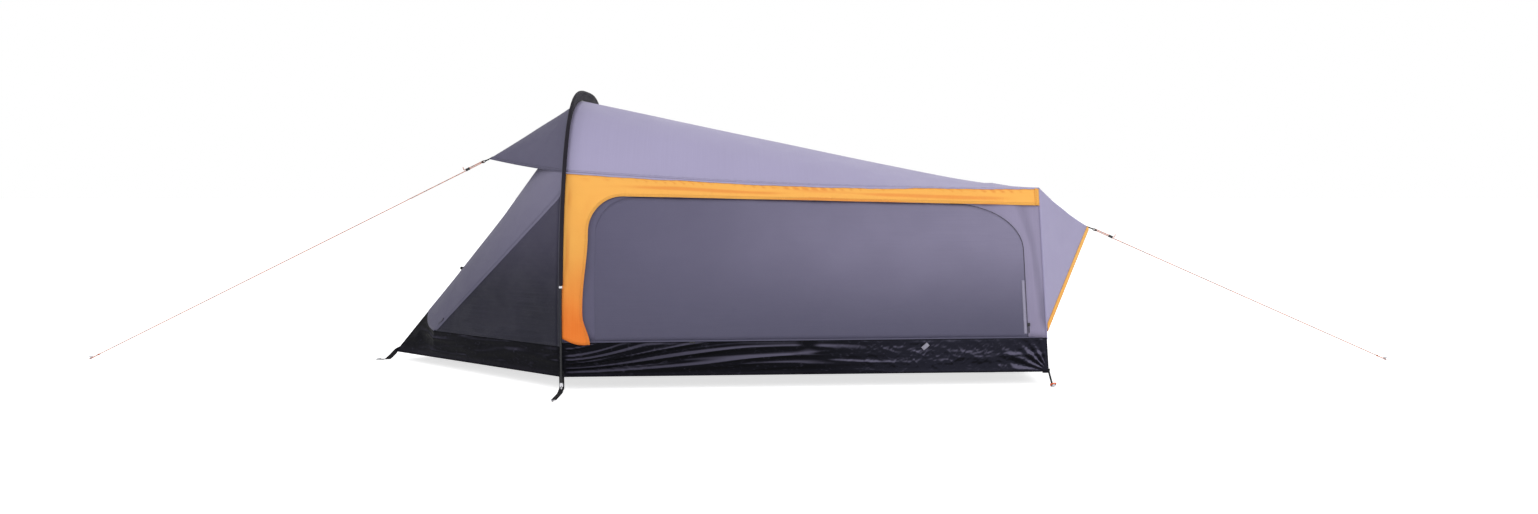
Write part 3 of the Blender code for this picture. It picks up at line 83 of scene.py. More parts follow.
class Border(Enum):
    """A border of a sheet's grid."""

    START = "start"
    FINISH = "finish"
    LOWER = "lower"
    UPPER = "upper"


def mix(a: Any, b: Any, share: float) -> Any:
    """Point or number at a share of the way from a to b."""
    return a + (b - a) * share


def smooth(share: float) -> float:
    """Ease from 0 to 1, and stay there outside that range."""
    share = min(1.0, max(0.0, share))
    return share * share * (3 - 2 * share)


def hump(share: float, centre: float, width: float) -> float:
    """Bell of height 1 at centre that has died out a width away."""
    return smooth(1 - abs(share - centre) / width)


def arc(share: float, power: float = 1.0) -> float:
    """Half a sine wave, 0 at both ends and 1 in the middle, to a power."""
    return sin(pi * min(1.0, max(0.0, share))) ** power


def sign_of(u: float) -> float:
    """The sign of Y on the half of a grid that runs from the near side to the far one."""
    return -1.0 if u < 0.5 else 1.0


def toned(colour: Colour, factor: float) -> Colour:
    """A colour times a factor, up to white."""
    return tuple(min(1.0, factor * c) for c in colour)


def linear(red: int, green: int, blue: int) -> Colour:
    """Linear colour from a colour in 0 to 255 as a screen shows it.

    Args:
        red: Red, from 0 to 255.
        green: Green, from 0 to 255.
        blue: Blue, from 0 to 255.

    Returns:
        The three linear values.
    """

    def curve(value: float) -> float:
        """Linear value of one channel."""
        value /= 255
        return value / 12.92 if value <= 0.04045 else ((value + 0.055) / 1.055) ** 2.4

    return curve(red), curve(green), curve(blue)


# Shape


@dataclass(frozen=True)
class TentShape:
    """Sizes of the tent and the surfaces that its cloth follows."""

    clearance: float = 0.0003
    cloth: float = 0.0015
    seam: float = 0.0006
    arch_height: float = 1.200
    arch_half_width: float = 0.676
    arch_side_power: float = 3.24
    arch_top_power: float = 2.11
    sleeve_radius: float = 0.0080
    sleeve_end: float = 0.413
    fin_height: float = 0.045
    hem: float = 0.056
    skirt_top: float = 0.187
    eave_front: float = 0.850
    eave_sag: float = 0.020
    ridge_sag: float = 0.024
    ridge_sag_power: int = 13
    rear_top_x: float = 1.897
    rear_foot_x: float = 1.929
    rear_top: float = 0.788
    rear_top_half: float = 0.440
    rear_foot_half: float = 0.545
    rear_crown: float = -0.006
    band_front: float = 0.762
    band_rear: float = 0.7165
    flap_stand_off: float = 0.0045
    sill: float = 0.0045
    front_tip_x: float = -0.883
    front_tip_z: float = 0.038
    zip_top: float = 0.780
    zip_foot: tuple[float, float, float] = (-0.656, -0.166, 0.158)
    panel_foot_x: float = -0.732
    panel_foot_z: float = 0.222
    panel_sag: float = 0.036
    panel_edge: float = 0.08
    porch_dip: float = 0.014
    strip_width: float = 0.016
    hood_tip: tuple[float, float, float] = (-0.441, 0.0, 0.904)
    hood_sag: float = 0.004
    beak_tip: tuple[float, float, float] = (2.238, 0.0, 0.600)
    beak_foot: float = 0.212
    beak_sag: float = 0.012

    @property
    def fly_half_width(self) -> float:
        """Half width of the fly at the arch."""
        return self.arch_half_width - 2 * self.sleeve_radius - 2 * self.clearance

    @property
    def fly_height(self) -> float:
        """Height of the fly at the arch."""
        return self.arch_height - self.fin_height

    @property
    def pole_half_width(self) -> float:
        """Half width of the pole's centre line."""
        return self.arch_half_width - self.sleeve_radius

    @property
    def pole_height(self) -> float:
        """Height of the pole's centre line."""
        return self.arch_height - self.sleeve_radius

    @property
    def roof_seam(self) -> float:
        """X of the roof's front edge."""
        return self.seam / 2 + self.cloth / 2

    @property
    def porch_seam(self) -> float:
        """X of the porch's rear edge, less than 0."""
        return -(self.seam / 2 + self.cloth)

    @property
    def wall_inset(self) -> float:
        """How far the wall lies behind the storm flap."""
        return self.cloth + self.flap_stand_off

    @property
    def porch_inset(self) -> float:
        """How far the porch lies inside the arch."""
        return 2 * self.cloth + 2 * self.clearance

    @property
    def door_bottom(self) -> float:
        """Height of the side door's lower edge."""
        return self.skirt_top + self.sill

    def arch_angle(self, height: float, top: float) -> float:
        """Angle along an arch of height top at which it reaches a height."""
        return asin(min(1.0, height / top) ** (self.arch_top_power / 2))

    def arch_point(self, angle: float, half_width: float, top: float) -> Vector:
        """Point of an arch, from the near foot at 0 to the far foot at pi.

        Args:
            angle: The angle.
            half_width: The arch's half width.
            top: Its height.

        Returns:
            The point.
        """
        run = cos(angle)
        across = -copysign(abs(run) ** (2 / self.arch_side_power), run)
        up = max(0.0, sin(angle)) ** (2 / self.arch_top_power)
        return Vector((0.0, half_width * across, top * up))

    def arch_level(self, point: Vector, half_width: float, top: float) -> float:
        """Less than 0 inside an arch, more outside it."""
        across = (abs(point.y) / half_width) ** self.arch_side_power
        return across + (max(0.0, point.z) / top) ** self.arch_top_power - 1.0

    def arch_outward(self, angle: float) -> Vector:
        """Direction square to the fly's arch, away from its inside.

        Args:
            angle: The angle along the arch.

        Returns:
            The direction.
        """
        step = 1e-4
        after = self.arch_point(angle + step, self.fly_half_width, self.fly_height)
        before = self.arch_point(angle - step, self.fly_half_width, self.fly_height)
        run = after - before
        return Vector((0.0, -run.z, run.y)).normalized()

    def eave_angle(self) -> float:
        """Angle along the fly's arch at which the roof's seam starts."""
        return self.arch_angle(self.eave_front, self.fly_height)

    def roof_angle(self, across: float) -> float:
        """Angle along the fly's arch: -1 is the near eave, 0 the ridge and 1 the far eave."""
        return mix(pi / 2, pi - self.eave_angle(), across)

    def fly_half(self, height: float, inset: float = 0.0) -> float:
        """Half width of the fly at the arch, at a height."""
        angle = self.arch_angle(height, self.fly_height - inset)
        return -self.arch_point(angle, self.fly_half_width - inset, self.fly_height - inset).y

    def rear_share(self, height: float) -> float:
        """Share of the way up the rear corner."""
        return (height - self.hem) / (self.rear_top - self.hem)

    def rear_x(self, height: float) -> float:
        """X of the rear corner at a height."""
        return mix(self.rear_foot_x, self.rear_top_x, self.rear_share(height))

    def rear_half(self, height: float) -> float:
        """Half width of the fly at the rear corner, at a height."""
        return mix(self.rear_foot_half, self.rear_top_half, self.rear_share(height))

    def eave_height(self, s: float) -> float:
        """Height of the seam between the roof and the wall."""
        return mix(self.eave_front, self.rear_top, s) - self.eave_sag * arc(s)

    def wall_point(self, s: float, height: float, side: float, inset: float = 0.0) -> Vector:
        """Point of the side wall: s runs from the arch to the rear corner.

        Args:
            s: Share of the way from the arch.
            height: The height.
            side: The sign of Y.
            inset: How far inside the wall it lies.

        Returns:
            The point.
        """
        x = mix(self.roof_seam, self.rear_x(height), s)
        half = mix(self.fly_half(height), self.rear_half(height), s) - inset
        return Vector((x, side * half, height))

    def roof_point(self, s: float, across: float) -> Vector:
        """Point of the roof: across runs from -1 at the near eave to 1 at the far one.

        Args:
            s: Share of the way from the arch.
            across: Share of the way from the ridge.

        Returns:
            The point.
        """
        share = abs(across)
        side = -1.0 if across < 0 else 1.0
        front = self.arch_point(self.roof_angle(across), self.fly_half_width, self.fly_height)
        front.x = self.roof_seam
        crown = self.rear_crown * (1 - share)
        rear = Vector((self.rear_top_x, side * self.rear_top_half * share, self.rear_top + crown))
        point = mix(front, rear, s)
        ridge_sag = self.ridge_sag * (s - s**self.ridge_sag_power)
        point.z -= mix(ridge_sag, self.eave_sag * arc(s), share)
        edge = self.wall_point(s, self.eave_height(s), side)
        straight = side * mix(self.fly_half(self.eave_front), self.rear_top_half, s)
        point.y += (edge.y - straight) * share**4
        return point

    def along(self, length: float) -> float:
        """A length along the side wall as a share of it."""
        return length / self.rear_top_x

    def band_edge(self, s: float) -> float:
        """Height of the free lower edge of the storm flap's band."""
        return mix(self.band_front, self.band_rear, s)

    def zip_points(self) -> tuple[Vector, Vector, Vector]:
        """The porch zip's top and foot and the skirt's corner by the arch, on the near side.

        Returns:
            The three points.
        """
        inset, x = self.porch_inset, self.porch_seam
        top = Vector((x, -self.fly_half(self.zip_top, inset), self.zip_top))
        corner = Vector((x, -self.fly_half(self.skirt_top, inset), self.skirt_top))
        return top, Vector(self.zip_foot), corner

    def panel_point(self, share: float, t: float) -> Vector:
        """Point of the porch's middle panel on the near side.

        Args:
            share: 0 at the ridge, 1 at the zip.
            t: 0 at the arch, 1 at the foot.

        Returns:
            The point.
        """
        _, foot, _ = self.zip_points()
        inset = self.porch_inset
        inner = 1 - self.panel_edge
        if share <= inner:
            angle = self.roof_angle(-share / inner)
        else:
            low = self.arch_angle(self.zip_top, self.fly_height - inset)
            angle = mix(self.roof_angle(-1.0), low, (share - inner) / self.panel_edge)
        start = self.arch_point(angle, self.fly_half_width - inset, self.fly_height - inset)
        start.x = self.porch_seam
        end = mix(Vector((self.panel_foot_x, 0.0, self.panel_foot_z)), foot, share)
        bulge = Vector((-0.012, -0.004, -0.012)) * arc(share) * t**5
        place = mix(start, end, t) + bulge
        place.z -= self.panel_sag * arc(sqrt(t)) * (1 - share**2)
        return place

    def hood_point(self, across: float, t: float) -> Vector:
        """Point of the hood: across from -1 to 1, t from the arch out to the tip.

        Args:
            across: Share of the way from the ridge.
            t: Share of the way to the tip.

        Returns:
            The point.
        """
        start = self.arch_point(self.roof_angle(across), self.fly_half_width, self.fly_height)
        start.x = self.porch_seam
        place = mix(start, Vector(self.hood_tip), t)
        place.z -= self.hood_sag * arc(t)
        return place

    def crease_point(self, share: float) -> Vector:
        """Point of the rear crease: 0 at the beak's foot, 0.6 at the top corner, 1 at the ridge.

        Args:
            share: Share of the way along the crease.

        Returns:
            The point.
        """
        start = self.cloth + self.clearance
        if share <= 0.6:
            height = mix(self.beak_foot, self.rear_top, share / 0.6)
            return Vector((self.rear_x(height) + start, -self.rear_half(height), height))
        inward = (share - 0.6) / 0.4
        height = self.rear_top + self.rear_crown * inward
        return Vector((self.rear_top_x + start, -self.rear_top_half * (1 - inward), height))

    def beak_point(self, across: float, t: float) -> Vector:
        """Point of the beak: across from -1 to 1, t from the crease out to the tip.

        Args:
            across: Share of the way from the ridge.
            t: Share of the way to the tip.

        Returns:
            The point.
        """
        side = -1.0 if across < 0 else 1.0
        share = 1 - abs(across)
        place = mix(self.crease_point(share), Vector(self.beak_tip), t)
        place.z -= self.beak_sag * 4 * t * (1 - t) * smooth(share / 0.6)
        return turned_to(place, side)

    def sleeve_section(self, angle: float) -> tuple[Vector, Vector, float]:
        """Seam of the sleeve on the fly's arch, the outward direction and the way out to the pole.

        Args:
            angle: The angle along the fly's arch.

        Returns:
            The seam's point, the direction out and the length of the way.
        """
        seam = self.arch_point(angle, self.fly_half_width, self.fly_height)
        outward = self.arch_outward(angle)
        low, high = 0.0, 2 * self.fin_height
        for _ in range(40):
            depth = (low + high) / 2
            reached = seam + outward * depth
            if self.arch_level(reached, self.pole_half_width, self.pole_height) < 0:
                low = depth
            else:
                high = depth
        return seam, outward, depth


def turned_to(point: Vector, side: float) -> Vector:
    """A near-side point moved to the given side."""
    return Vector((point.x, -side * point.y, point.z))


def folds(place: Vector, scale: float, seed: float = 0.0) -> float:
    """Soft noise from about -1 to 1 with features of about 1 / scale."""
    return noise.noise(place * scale + Vector((seed, 1.7 * seed, 0.3)))


def creases(place: Vector, scale: float, seed: float = 0.0) -> float:
    """Sharp-ridged noise from 0 to 1, as in crumpled coated cloth."""
    return 1 - min(1.0, 2.5 * abs(folds(place, scale, seed)))


# Finishes


class NodeSheet:
    """Puts together the nodes of one material."""

    def __init__(self, name: str) -> None:
        """Start a material with its shader.

        Args:
            name: The material's name.
        """
        self.material = bpy.data.materials.new(name)
        self.material.use_nodes = True
        self.tree = self.material.node_tree
        self.shader = self.tree.nodes["Principled BSDF"]

    def link(self, source: Socket, target: Socket) -> None:
        """Join two sockets."""
        self.tree.links.new(source, target)

    def feed(self, socket: Socket, value: object) -> None:
        """Give a socket a value or another socket.

        Args:
            socket: The socket.
            value: A number, a vector, a colour of three values or a socket.
        """
        if isinstance(value, Socket):
            self.link(value, socket)
        elif isinstance(value, tuple) and len(value) == 3 and socket.type == "RGBA":
            socket.default_value = (*value, 1.0)
        else:
            socket.default_value = value

    def add(self, kind: str, inputs: dict[int | str, object], **settings: object) -> bpy.types.Node:
        """Add a node.

        Args:
            kind: The node's type, without the words ShaderNode before it.
            inputs: What its inputs are fed, by their names or numbers.
            **settings: Properties to set on it.

        Returns:
            The node.
        """
        node = self.tree.nodes.new(f"ShaderNode{kind}")
        for key, value in settings.items():
            setattr(node, key, value)
        for key, value in inputs.items():
            self.feed(node.inputs[key], value)
        return node

    def place(self) -> Socket:
        """Object coordinates, in metres."""
        return self.add("TexCoord", {}).outputs["Object"]

    def layer(self, name: str) -> Socket:
        """A UV layer of the mesh; those of the cloths are in metres."""
        return self.add("UVMap", {}, uv_map=name).outputs["UV"]

    def maths(self, operation: str, *values: object) -> Socket:
        """A Math node's result."""
        return self.add("Math", dict(enumerate(values)), operation=operation).outputs["Value"]

    def wave(self, value: Socket, length: float) -> Socket:
        """A sine of a value with the given wave length."""
        return self.maths("SINE", self.maths("MULTIPLY", value, tau / length))

    def parts(self, vector: Socket) -> tuple[Socket, ...]:
        """The x, y and z of a vector."""
        return tuple(self.add("SeparateXYZ", {0: vector}).outputs)

    def scaled(self, vector: Socket, by: Colour) -> Socket:
        """A vector times three factors."""
        return self.add("VectorMath", {0: vector, 1: by}, operation="MULTIPLY").outputs["Vector"]

    def noise(self, vector: Socket, scale: float, detail: float = 3.0, distortion: float = 0.0) -> Socket:
        """A noise value from 0 to 1."""
        inputs = {"Vector": vector, "Scale": scale, "Detail": detail, "Distortion": distortion}
        return self.add("TexNoise", inputs).outputs["Fac"]

    def span(
        self, value: Socket, low: float, high: float, out_low: float = 0.0, out_high: float = 1.0
    ) -> Socket:
        """A value's range from low to high, eased and moved to another range."""
        inputs = {"Value": value, "From Min": low, "From Max": high, "To Min": out_low, "To Max": out_high}
        return self.add("MapRange", inputs, interpolation_type="SMOOTHSTEP").outputs["Result"]

    def blend(self, share: object, first: object, second: object) -> Socket:
        """A colour between two colours."""
        return self.add("Mix", {0: share, 6: first, 7: second}, data_type="RGBA").outputs[2]

    def bump(
        self, height: Socket, distance: float, strength: float = 1.0, normal: Socket | None = None
    ) -> Socket:
        """A bumped normal from a height.

        Args:
            height: The height.
            distance: How far a height of 1 stands out.
            strength: The bump's strength.
            normal: A normal that is bumped already.

        Returns:
            The normal.
        """
        inputs: dict[int | str, object] = {"Distance": distance, "Strength": strength, "Height": height}
        if normal:
            inputs["Normal"] = normal
        return self.add("Bump", inputs).outputs["Normal"]

    def set(self, **values: object) -> None:
        """Set or feed the shader's sockets; an underscore stands for a space."""
        for key, value in values.items():
            self.feed(self.shader.inputs[key.replace("_", " ")], value)


class Weave(Enum):
    """How a cloth is woven."""

    PLAIN = "plain"
    RIPSTOP = "ripstop"
    NET = "net"


@dataclass(frozen=True)
class ClothFinish:
    """Coated tent cloth, with its tone, painted light and shade, weave, creases and stitching."""

    name: str
    slot: str
    colour: Colour
    # Painted light: a lighter colour that the cloth blends into along X.
    lit_end_colour: Colour | None = None
    # Painted shade: a darker colour that the cloth blends into towards the ground.
    shaded_low_colour: Colour | None = None
    light_from: float = 0.0
    light_to: float = 1.9
    shade_from: float = 0.80
    shade_to: float = 0.20
    roughness: float = 0.62
    sheen: float = 0.04
    crease: float = 0.35
    thread: float = 0.0011
    grid: float = 0.006
    weave: Weave = Weave.PLAIN
    stitches: tuple[float, ...] = ()
    stitch: float = 0.004
    stitch_colour: Colour | None = None
    fold_line: float = 0.0
    # How much painted shade darkens the folds that face down.
    fold_shade_share: float = 0.35

    def make(self) -> bpy.types.Material:
        """Build the material.

        Returns:
            The material.
        """
        sheet = NodeSheet(self.name)
        place = sheet.place()
        x, _, z = sheet.parts(place)
        colour: object = self.colour
        # Painted light: the colour blends along X into a lighter end colour where more light falls.
        if self.lit_end_colour:
            colour = sheet.blend(sheet.span(x, self.light_from, self.light_to), colour, self.lit_end_colour)
        # Painted shade: the colour darkens towards the ground into the low colour.
        if self.shaded_low_colour:
            share = sheet.span(z, self.shade_to, self.shade_from, 1.0, 0.0)
            colour = sheet.blend(share, colour, self.shaded_low_colour)
        patch = sheet.span(sheet.noise(place, 3.0, 4.0), 0.30, 0.72, 0.0, 0.16)
        colour = sheet.blend(patch, colour, toned(self.colour, 0.78))
        streak = sheet.noise(sheet.scaled(sheet.layer("cloth"), (3.0, 260.0, 1.0)), 1.0, 2.0)
        colour = sheet.blend(sheet.span(streak, 0.35, 0.75, 0.0, 0.10), colour, toned(self.colour, 1.25))
        # Painted shade in the folds of the relief that face down, read from the facing layer.
        facing, _, _ = sheet.parts(sheet.layer("facing"))
        colour = sheet.blend(sheet.span(facing, 0.40, 0.50, self.fold_shade_share, 0.0), colour, self.shade())
        height = self.threads(sheet)
        normal = sheet.bump(height, 0.00025, 0.55)
        rumple = sheet.noise(sheet.scaled(place, (1.0, 1.0, 1.6)), 9.0, 5.0, 0.6)
        normal = sheet.bump(rumple, 0.010, self.crease * 0.5, normal)
        # Painted shade in the gaps between the net's threads, where the dark inside shows through.
        if self.weave is Weave.NET:
            colour = sheet.blend(height, toned(self.colour, 0.25), colour)
        if self.stitches:
            colour, normal = self.sew(sheet, colour, normal)
        sheet.set(Base_Color=colour, Normal=normal)
        sheet.set(Roughness=sheet.span(rumple, 0.3, 0.7, self.roughness - 0.05, self.roughness + 0.07))
        sheet.set(Sheen_Weight=self.sheen, Sheen_Roughness=0.45, Specular_IOR_Level=0.22)
        return sheet.material

    def shade(self) -> Colour:
        """Painted shade: the cloth's tone inside a fold."""
        return tuple(c * c * 0.5 + 0.35 * c for c in (self.shaded_low_colour or self.colour))

    def threads(self, sheet: NodeSheet) -> Socket:
        """Height of the threads over the cloth's own metres.

        Args:
            sheet: The material under way.

        Returns:
            The height.
        """
        u, v, _ = sheet.parts(sheet.layer("cloth"))
        warp, weft = sheet.wave(u, self.thread), sheet.wave(v, self.thread)
        if self.weave is Weave.NET:
            return sheet.span(sheet.maths("MAXIMUM", warp, weft), 0.2, 0.8)
        height = sheet.maths("MULTIPLY_ADD", sheet.maths("MULTIPLY", warp, weft), 0.5, 0.5)
        if self.weave is Weave.RIPSTOP:
            bars = sheet.maths("MAXIMUM", sheet.wave(u, self.grid), sheet.wave(v, self.grid))
            height = sheet.maths("ADD", height, sheet.span(bars, 0.93, 1.0, 0.0, 1.2))
        return height

    def sew(
        self, sheet: NodeSheet, colour: object, normal: Socket
    ) -> tuple[Socket, Socket]:
        """Rows of stitches, painted shade in their valleys and the fold of the hem, at their distances from
        the sewn border.

        Args:
            sheet: The material under way.
            colour: The cloth's colour.
            normal: The cloth's normal.

        Returns:
            The colour and the normal with the sewing on them.
        """
        run, away, _ = sheet.parts(sheet.layer("hem"))
        thread = self.stitch_colour or toned(self.colour, 0.45)
        dash = sheet.span(sheet.wave(run, self.stitch), -0.5, -0.1)
        rows: Socket | None = None
        valleys: Socket | None = None
        for distance in self.stitches:
            off = sheet.maths("ABSOLUTE", sheet.maths("SUBTRACT", away, distance))
            row = sheet.span(off, 0.0002, 0.0006, 1.0, 0.0)
            valley = sheet.span(off, 0.0, 0.0035, 0.0, 1.0)
            rows = row if rows is None else sheet.maths("MAXIMUM", rows, row)
            valleys = valley if valleys is None else sheet.maths("MINIMUM", valleys, valley)
        stitch = sheet.maths("MULTIPLY", rows, dash)
        colour = sheet.blend(sheet.maths("MULTIPLY", stitch, 0.8), colour, thread)
        # Painted shade in the valleys along the rows of stitches.
        shade = sheet.span(valleys, 0.0, 1.0, 0.22, 0.0)
        colour = sheet.blend(shade, colour, toned(self.colour, 0.5))
        pull = sheet.noise(sheet.scaled(sheet.layer("hem"), (70.0, 12.0, 1.0)), 1.0, 2.0)
        pucker = sheet.maths("MULTIPLY", pull, sheet.span(away, 0.0, 0.045, 1.0, 0.0))
        normal = sheet.bump(pucker, 0.0045, 0.7, normal)
        normal = sheet.bump(valleys, 0.0009, 0.9, normal)
        normal = sheet.bump(stitch, 0.0004, 0.8, normal)
        if self.fold_line:
            step = sheet.span(away, self.fold_line, self.fold_line + 0.0012, 1.0, 0.0)
            normal = sheet.bump(step, 0.0010, 0.9, normal)
        return colour, normal


@dataclass(frozen=True)
class SkirtFinish:
    """Black coated cloth with fine crumples, painted highlights and painted shade on its folds, painted light
    towards the rear and dust near the hem.
    """

    name: str = "skirt_cloth"
    slot: str = "skirt_black"
    colour: Colour = linear(13, 13, 19)
    # Pale colour of the painted highlights and of the dust near the hem.
    highlight_and_dust: Colour = linear(98, 95, 115)
    # Painted shade in the folds that face down.
    fold_shadow: Colour = linear(6, 6, 9)
    roughness: float = 0.46

    def make(self) -> bpy.types.Material:
        """Build the material.

        Returns:
            The material.
        """
        sheet = NodeSheet(self.name)
        place = sheet.place()
        x, _, z = sheet.parts(place)
        facing, _, _ = sheet.parts(sheet.layer("facing"))
        fine = sheet.noise(sheet.scaled(place, (30.0, 30.0, 60.0)), 1.0, 4.0, 1.5)
        normal = sheet.bump(fine, 0.0016, 0.5)
        # Painted light: the base grows much lighter towards the rear.
        lit_rear_base = sheet.blend(sheet.span(x, 0.9, 1.5), self.colour, toned(self.colour, 3.6))
        # Painted highlights on the folds that face up, weaker towards the porch.
        painted_highlight = sheet.span(facing, 0.53, 0.76, 0.0, 0.9)
        painted_highlight = sheet.maths("MULTIPLY", painted_highlight, sheet.span(x, 0.2, 1.2, 0.42, 1.0))
        colour = sheet.blend(painted_highlight, lit_rear_base, self.highlight_and_dust)
        # Painted shade in the folds that face down.
        colour = sheet.blend(sheet.span(facing, 0.30, 0.47, 0.8, 0.0), colour, self.fold_shadow)
        # Painted highlights on the fine crumples.
        colour = sheet.blend(sheet.span(fine, 0.56, 0.78, 0.0, 0.16), colour, self.highlight_and_dust)
        # Dust near the hem, in the same pale colour.
        dust = sheet.maths("MULTIPLY", sheet.span(z, 0.05, 0.08, 0.12, 0.0), sheet.noise(place, 22.0))
        colour = sheet.blend(dust, colour, self.highlight_and_dust)
        sheet.set(Base_Color=colour, Normal=normal)
        sheet.set(Roughness=sheet.span(fine, 0.3, 0.7, self.roughness - 0.06, self.roughness + 0.10))
        sheet.set(Specular_IOR_Level=0.04)
        return sheet.material


@dataclass(frozen=True)
class WebbingFinish:
    """Woven webbing with ribs across it, and painted shade in the grooves between them."""

    name: str = "webbing"
    slot: str = "webbing_black"
    colour: Colour = linear(15, 15, 19)
    rib: float = 0.0016

    def make(self) -> bpy.types.Material:
        """Build the material.

        Returns:
            The material.
        """
        sheet = NodeSheet(self.name)
        u, v, _ = sheet.parts(sheet.layer("cloth"))
        rib, cross = sheet.wave(u, self.rib), sheet.wave(v, 1.6 * self.rib)
        height = sheet.maths("MULTIPLY_ADD", cross, 0.35, sheet.maths("MULTIPLY", rib, 0.5))
        fuzz = sheet.noise(sheet.place(), 400.0, 2.0)
        # Painted shade in the grooves between the ribs.
        colour = sheet.blend(sheet.span(height, -0.6, 0.8), toned(self.colour, 0.55), self.colour)
        colour = sheet.blend(sheet.span(fuzz, 0.5, 0.8, 0.0, 0.2), colour, linear(54, 54, 60))
        sheet.set(Base_Color=colour, Normal=sheet.bump(height, 0.0004, 0.8), Roughness=0.72)
        sheet.set(Sheen_Weight=0.05, Specular_IOR_Level=0.2)
        return sheet.material


@dataclass(frozen=True)
class CordFinish:
    """Braided cord: a main colour with flecks of two others."""

    name: str = "guy_cord"
    slot: str = "cord_orange"
    colour: Colour = linear(206, 88, 16)
    fleck: Colour = linear(226, 136, 66)
    dark: Colour = linear(96, 46, 24)
    grain: float = 230.0
    plait: float = 330.0

    def make(self) -> bpy.types.Material:
        """Build the material.

        Returns:
            The material.
        """
        sheet = NodeSheet(self.name)
        place = sheet.place()
        first = sheet.noise(place, self.grain, 1.0)
        second = sheet.noise(sheet.scaled(place, (1.0, 1.0, 1.3)), 0.7 * self.grain, 1.0)
        colour = sheet.blend(sheet.span(first, 0.55, 0.60), self.colour, self.fleck)
        colour = sheet.blend(sheet.span(second, 0.53, 0.58), colour, self.dark)
        wave = sheet.add("TexWave", {"Vector": place, "Scale": self.plait}, bands_direction="DIAGONAL")
        normal = sheet.bump(wave.outputs["Fac"], 0.0003, 0.8)
        sheet.set(Base_Color=colour, Normal=normal, Roughness=0.7, Sheen_Weight=0.2)
        return sheet.material


@dataclass(frozen=True)
class HardFinish:
    """Metal, moulded plastic or rod, with fine marks."""

    name: str
    slot: str
    colour: Colour
    metallic: float = 0.0
    roughness: float = 0.4
    marks: float = 0.25
    stretch: Colour = (40.0, 40.0, 400.0)

    def make(self) -> bpy.types.Material:
        """Build the material.

        Returns:
            The material.
        """
        sheet = NodeSheet(self.name)
        place = sheet.place()
        grain = sheet.noise(sheet.scaled(place, self.stretch), 1.0, 3.0)
        wear = sheet.noise(place, 60.0, 4.0)
        light = tuple(min(1.0, 1.2 * c + 0.01) for c in self.colour)
        share = sheet.span(grain, 0.3, 0.7, 0.0, self.marks)
        colour = sheet.blend(share, self.colour, toned(self.colour, 0.72))
        colour = sheet.blend(sheet.span(wear, 0.58, 0.75, 0.0, self.marks), colour, light)
        rough = sheet.span(wear, 0.3, 0.75, self.roughness - 0.08, self.roughness + 0.1)
        sheet.set(Base_Color=colour, Roughness=rough, Metallic=self.metallic)
        sheet.set(Normal=sheet.bump(grain, 0.0002, 0.4))
        return sheet.material


Finish = ClothFinish | SkirtFinish | WebbingFinish | CordFinish | HardFinish

LILAC = linear(164, 158, 189)


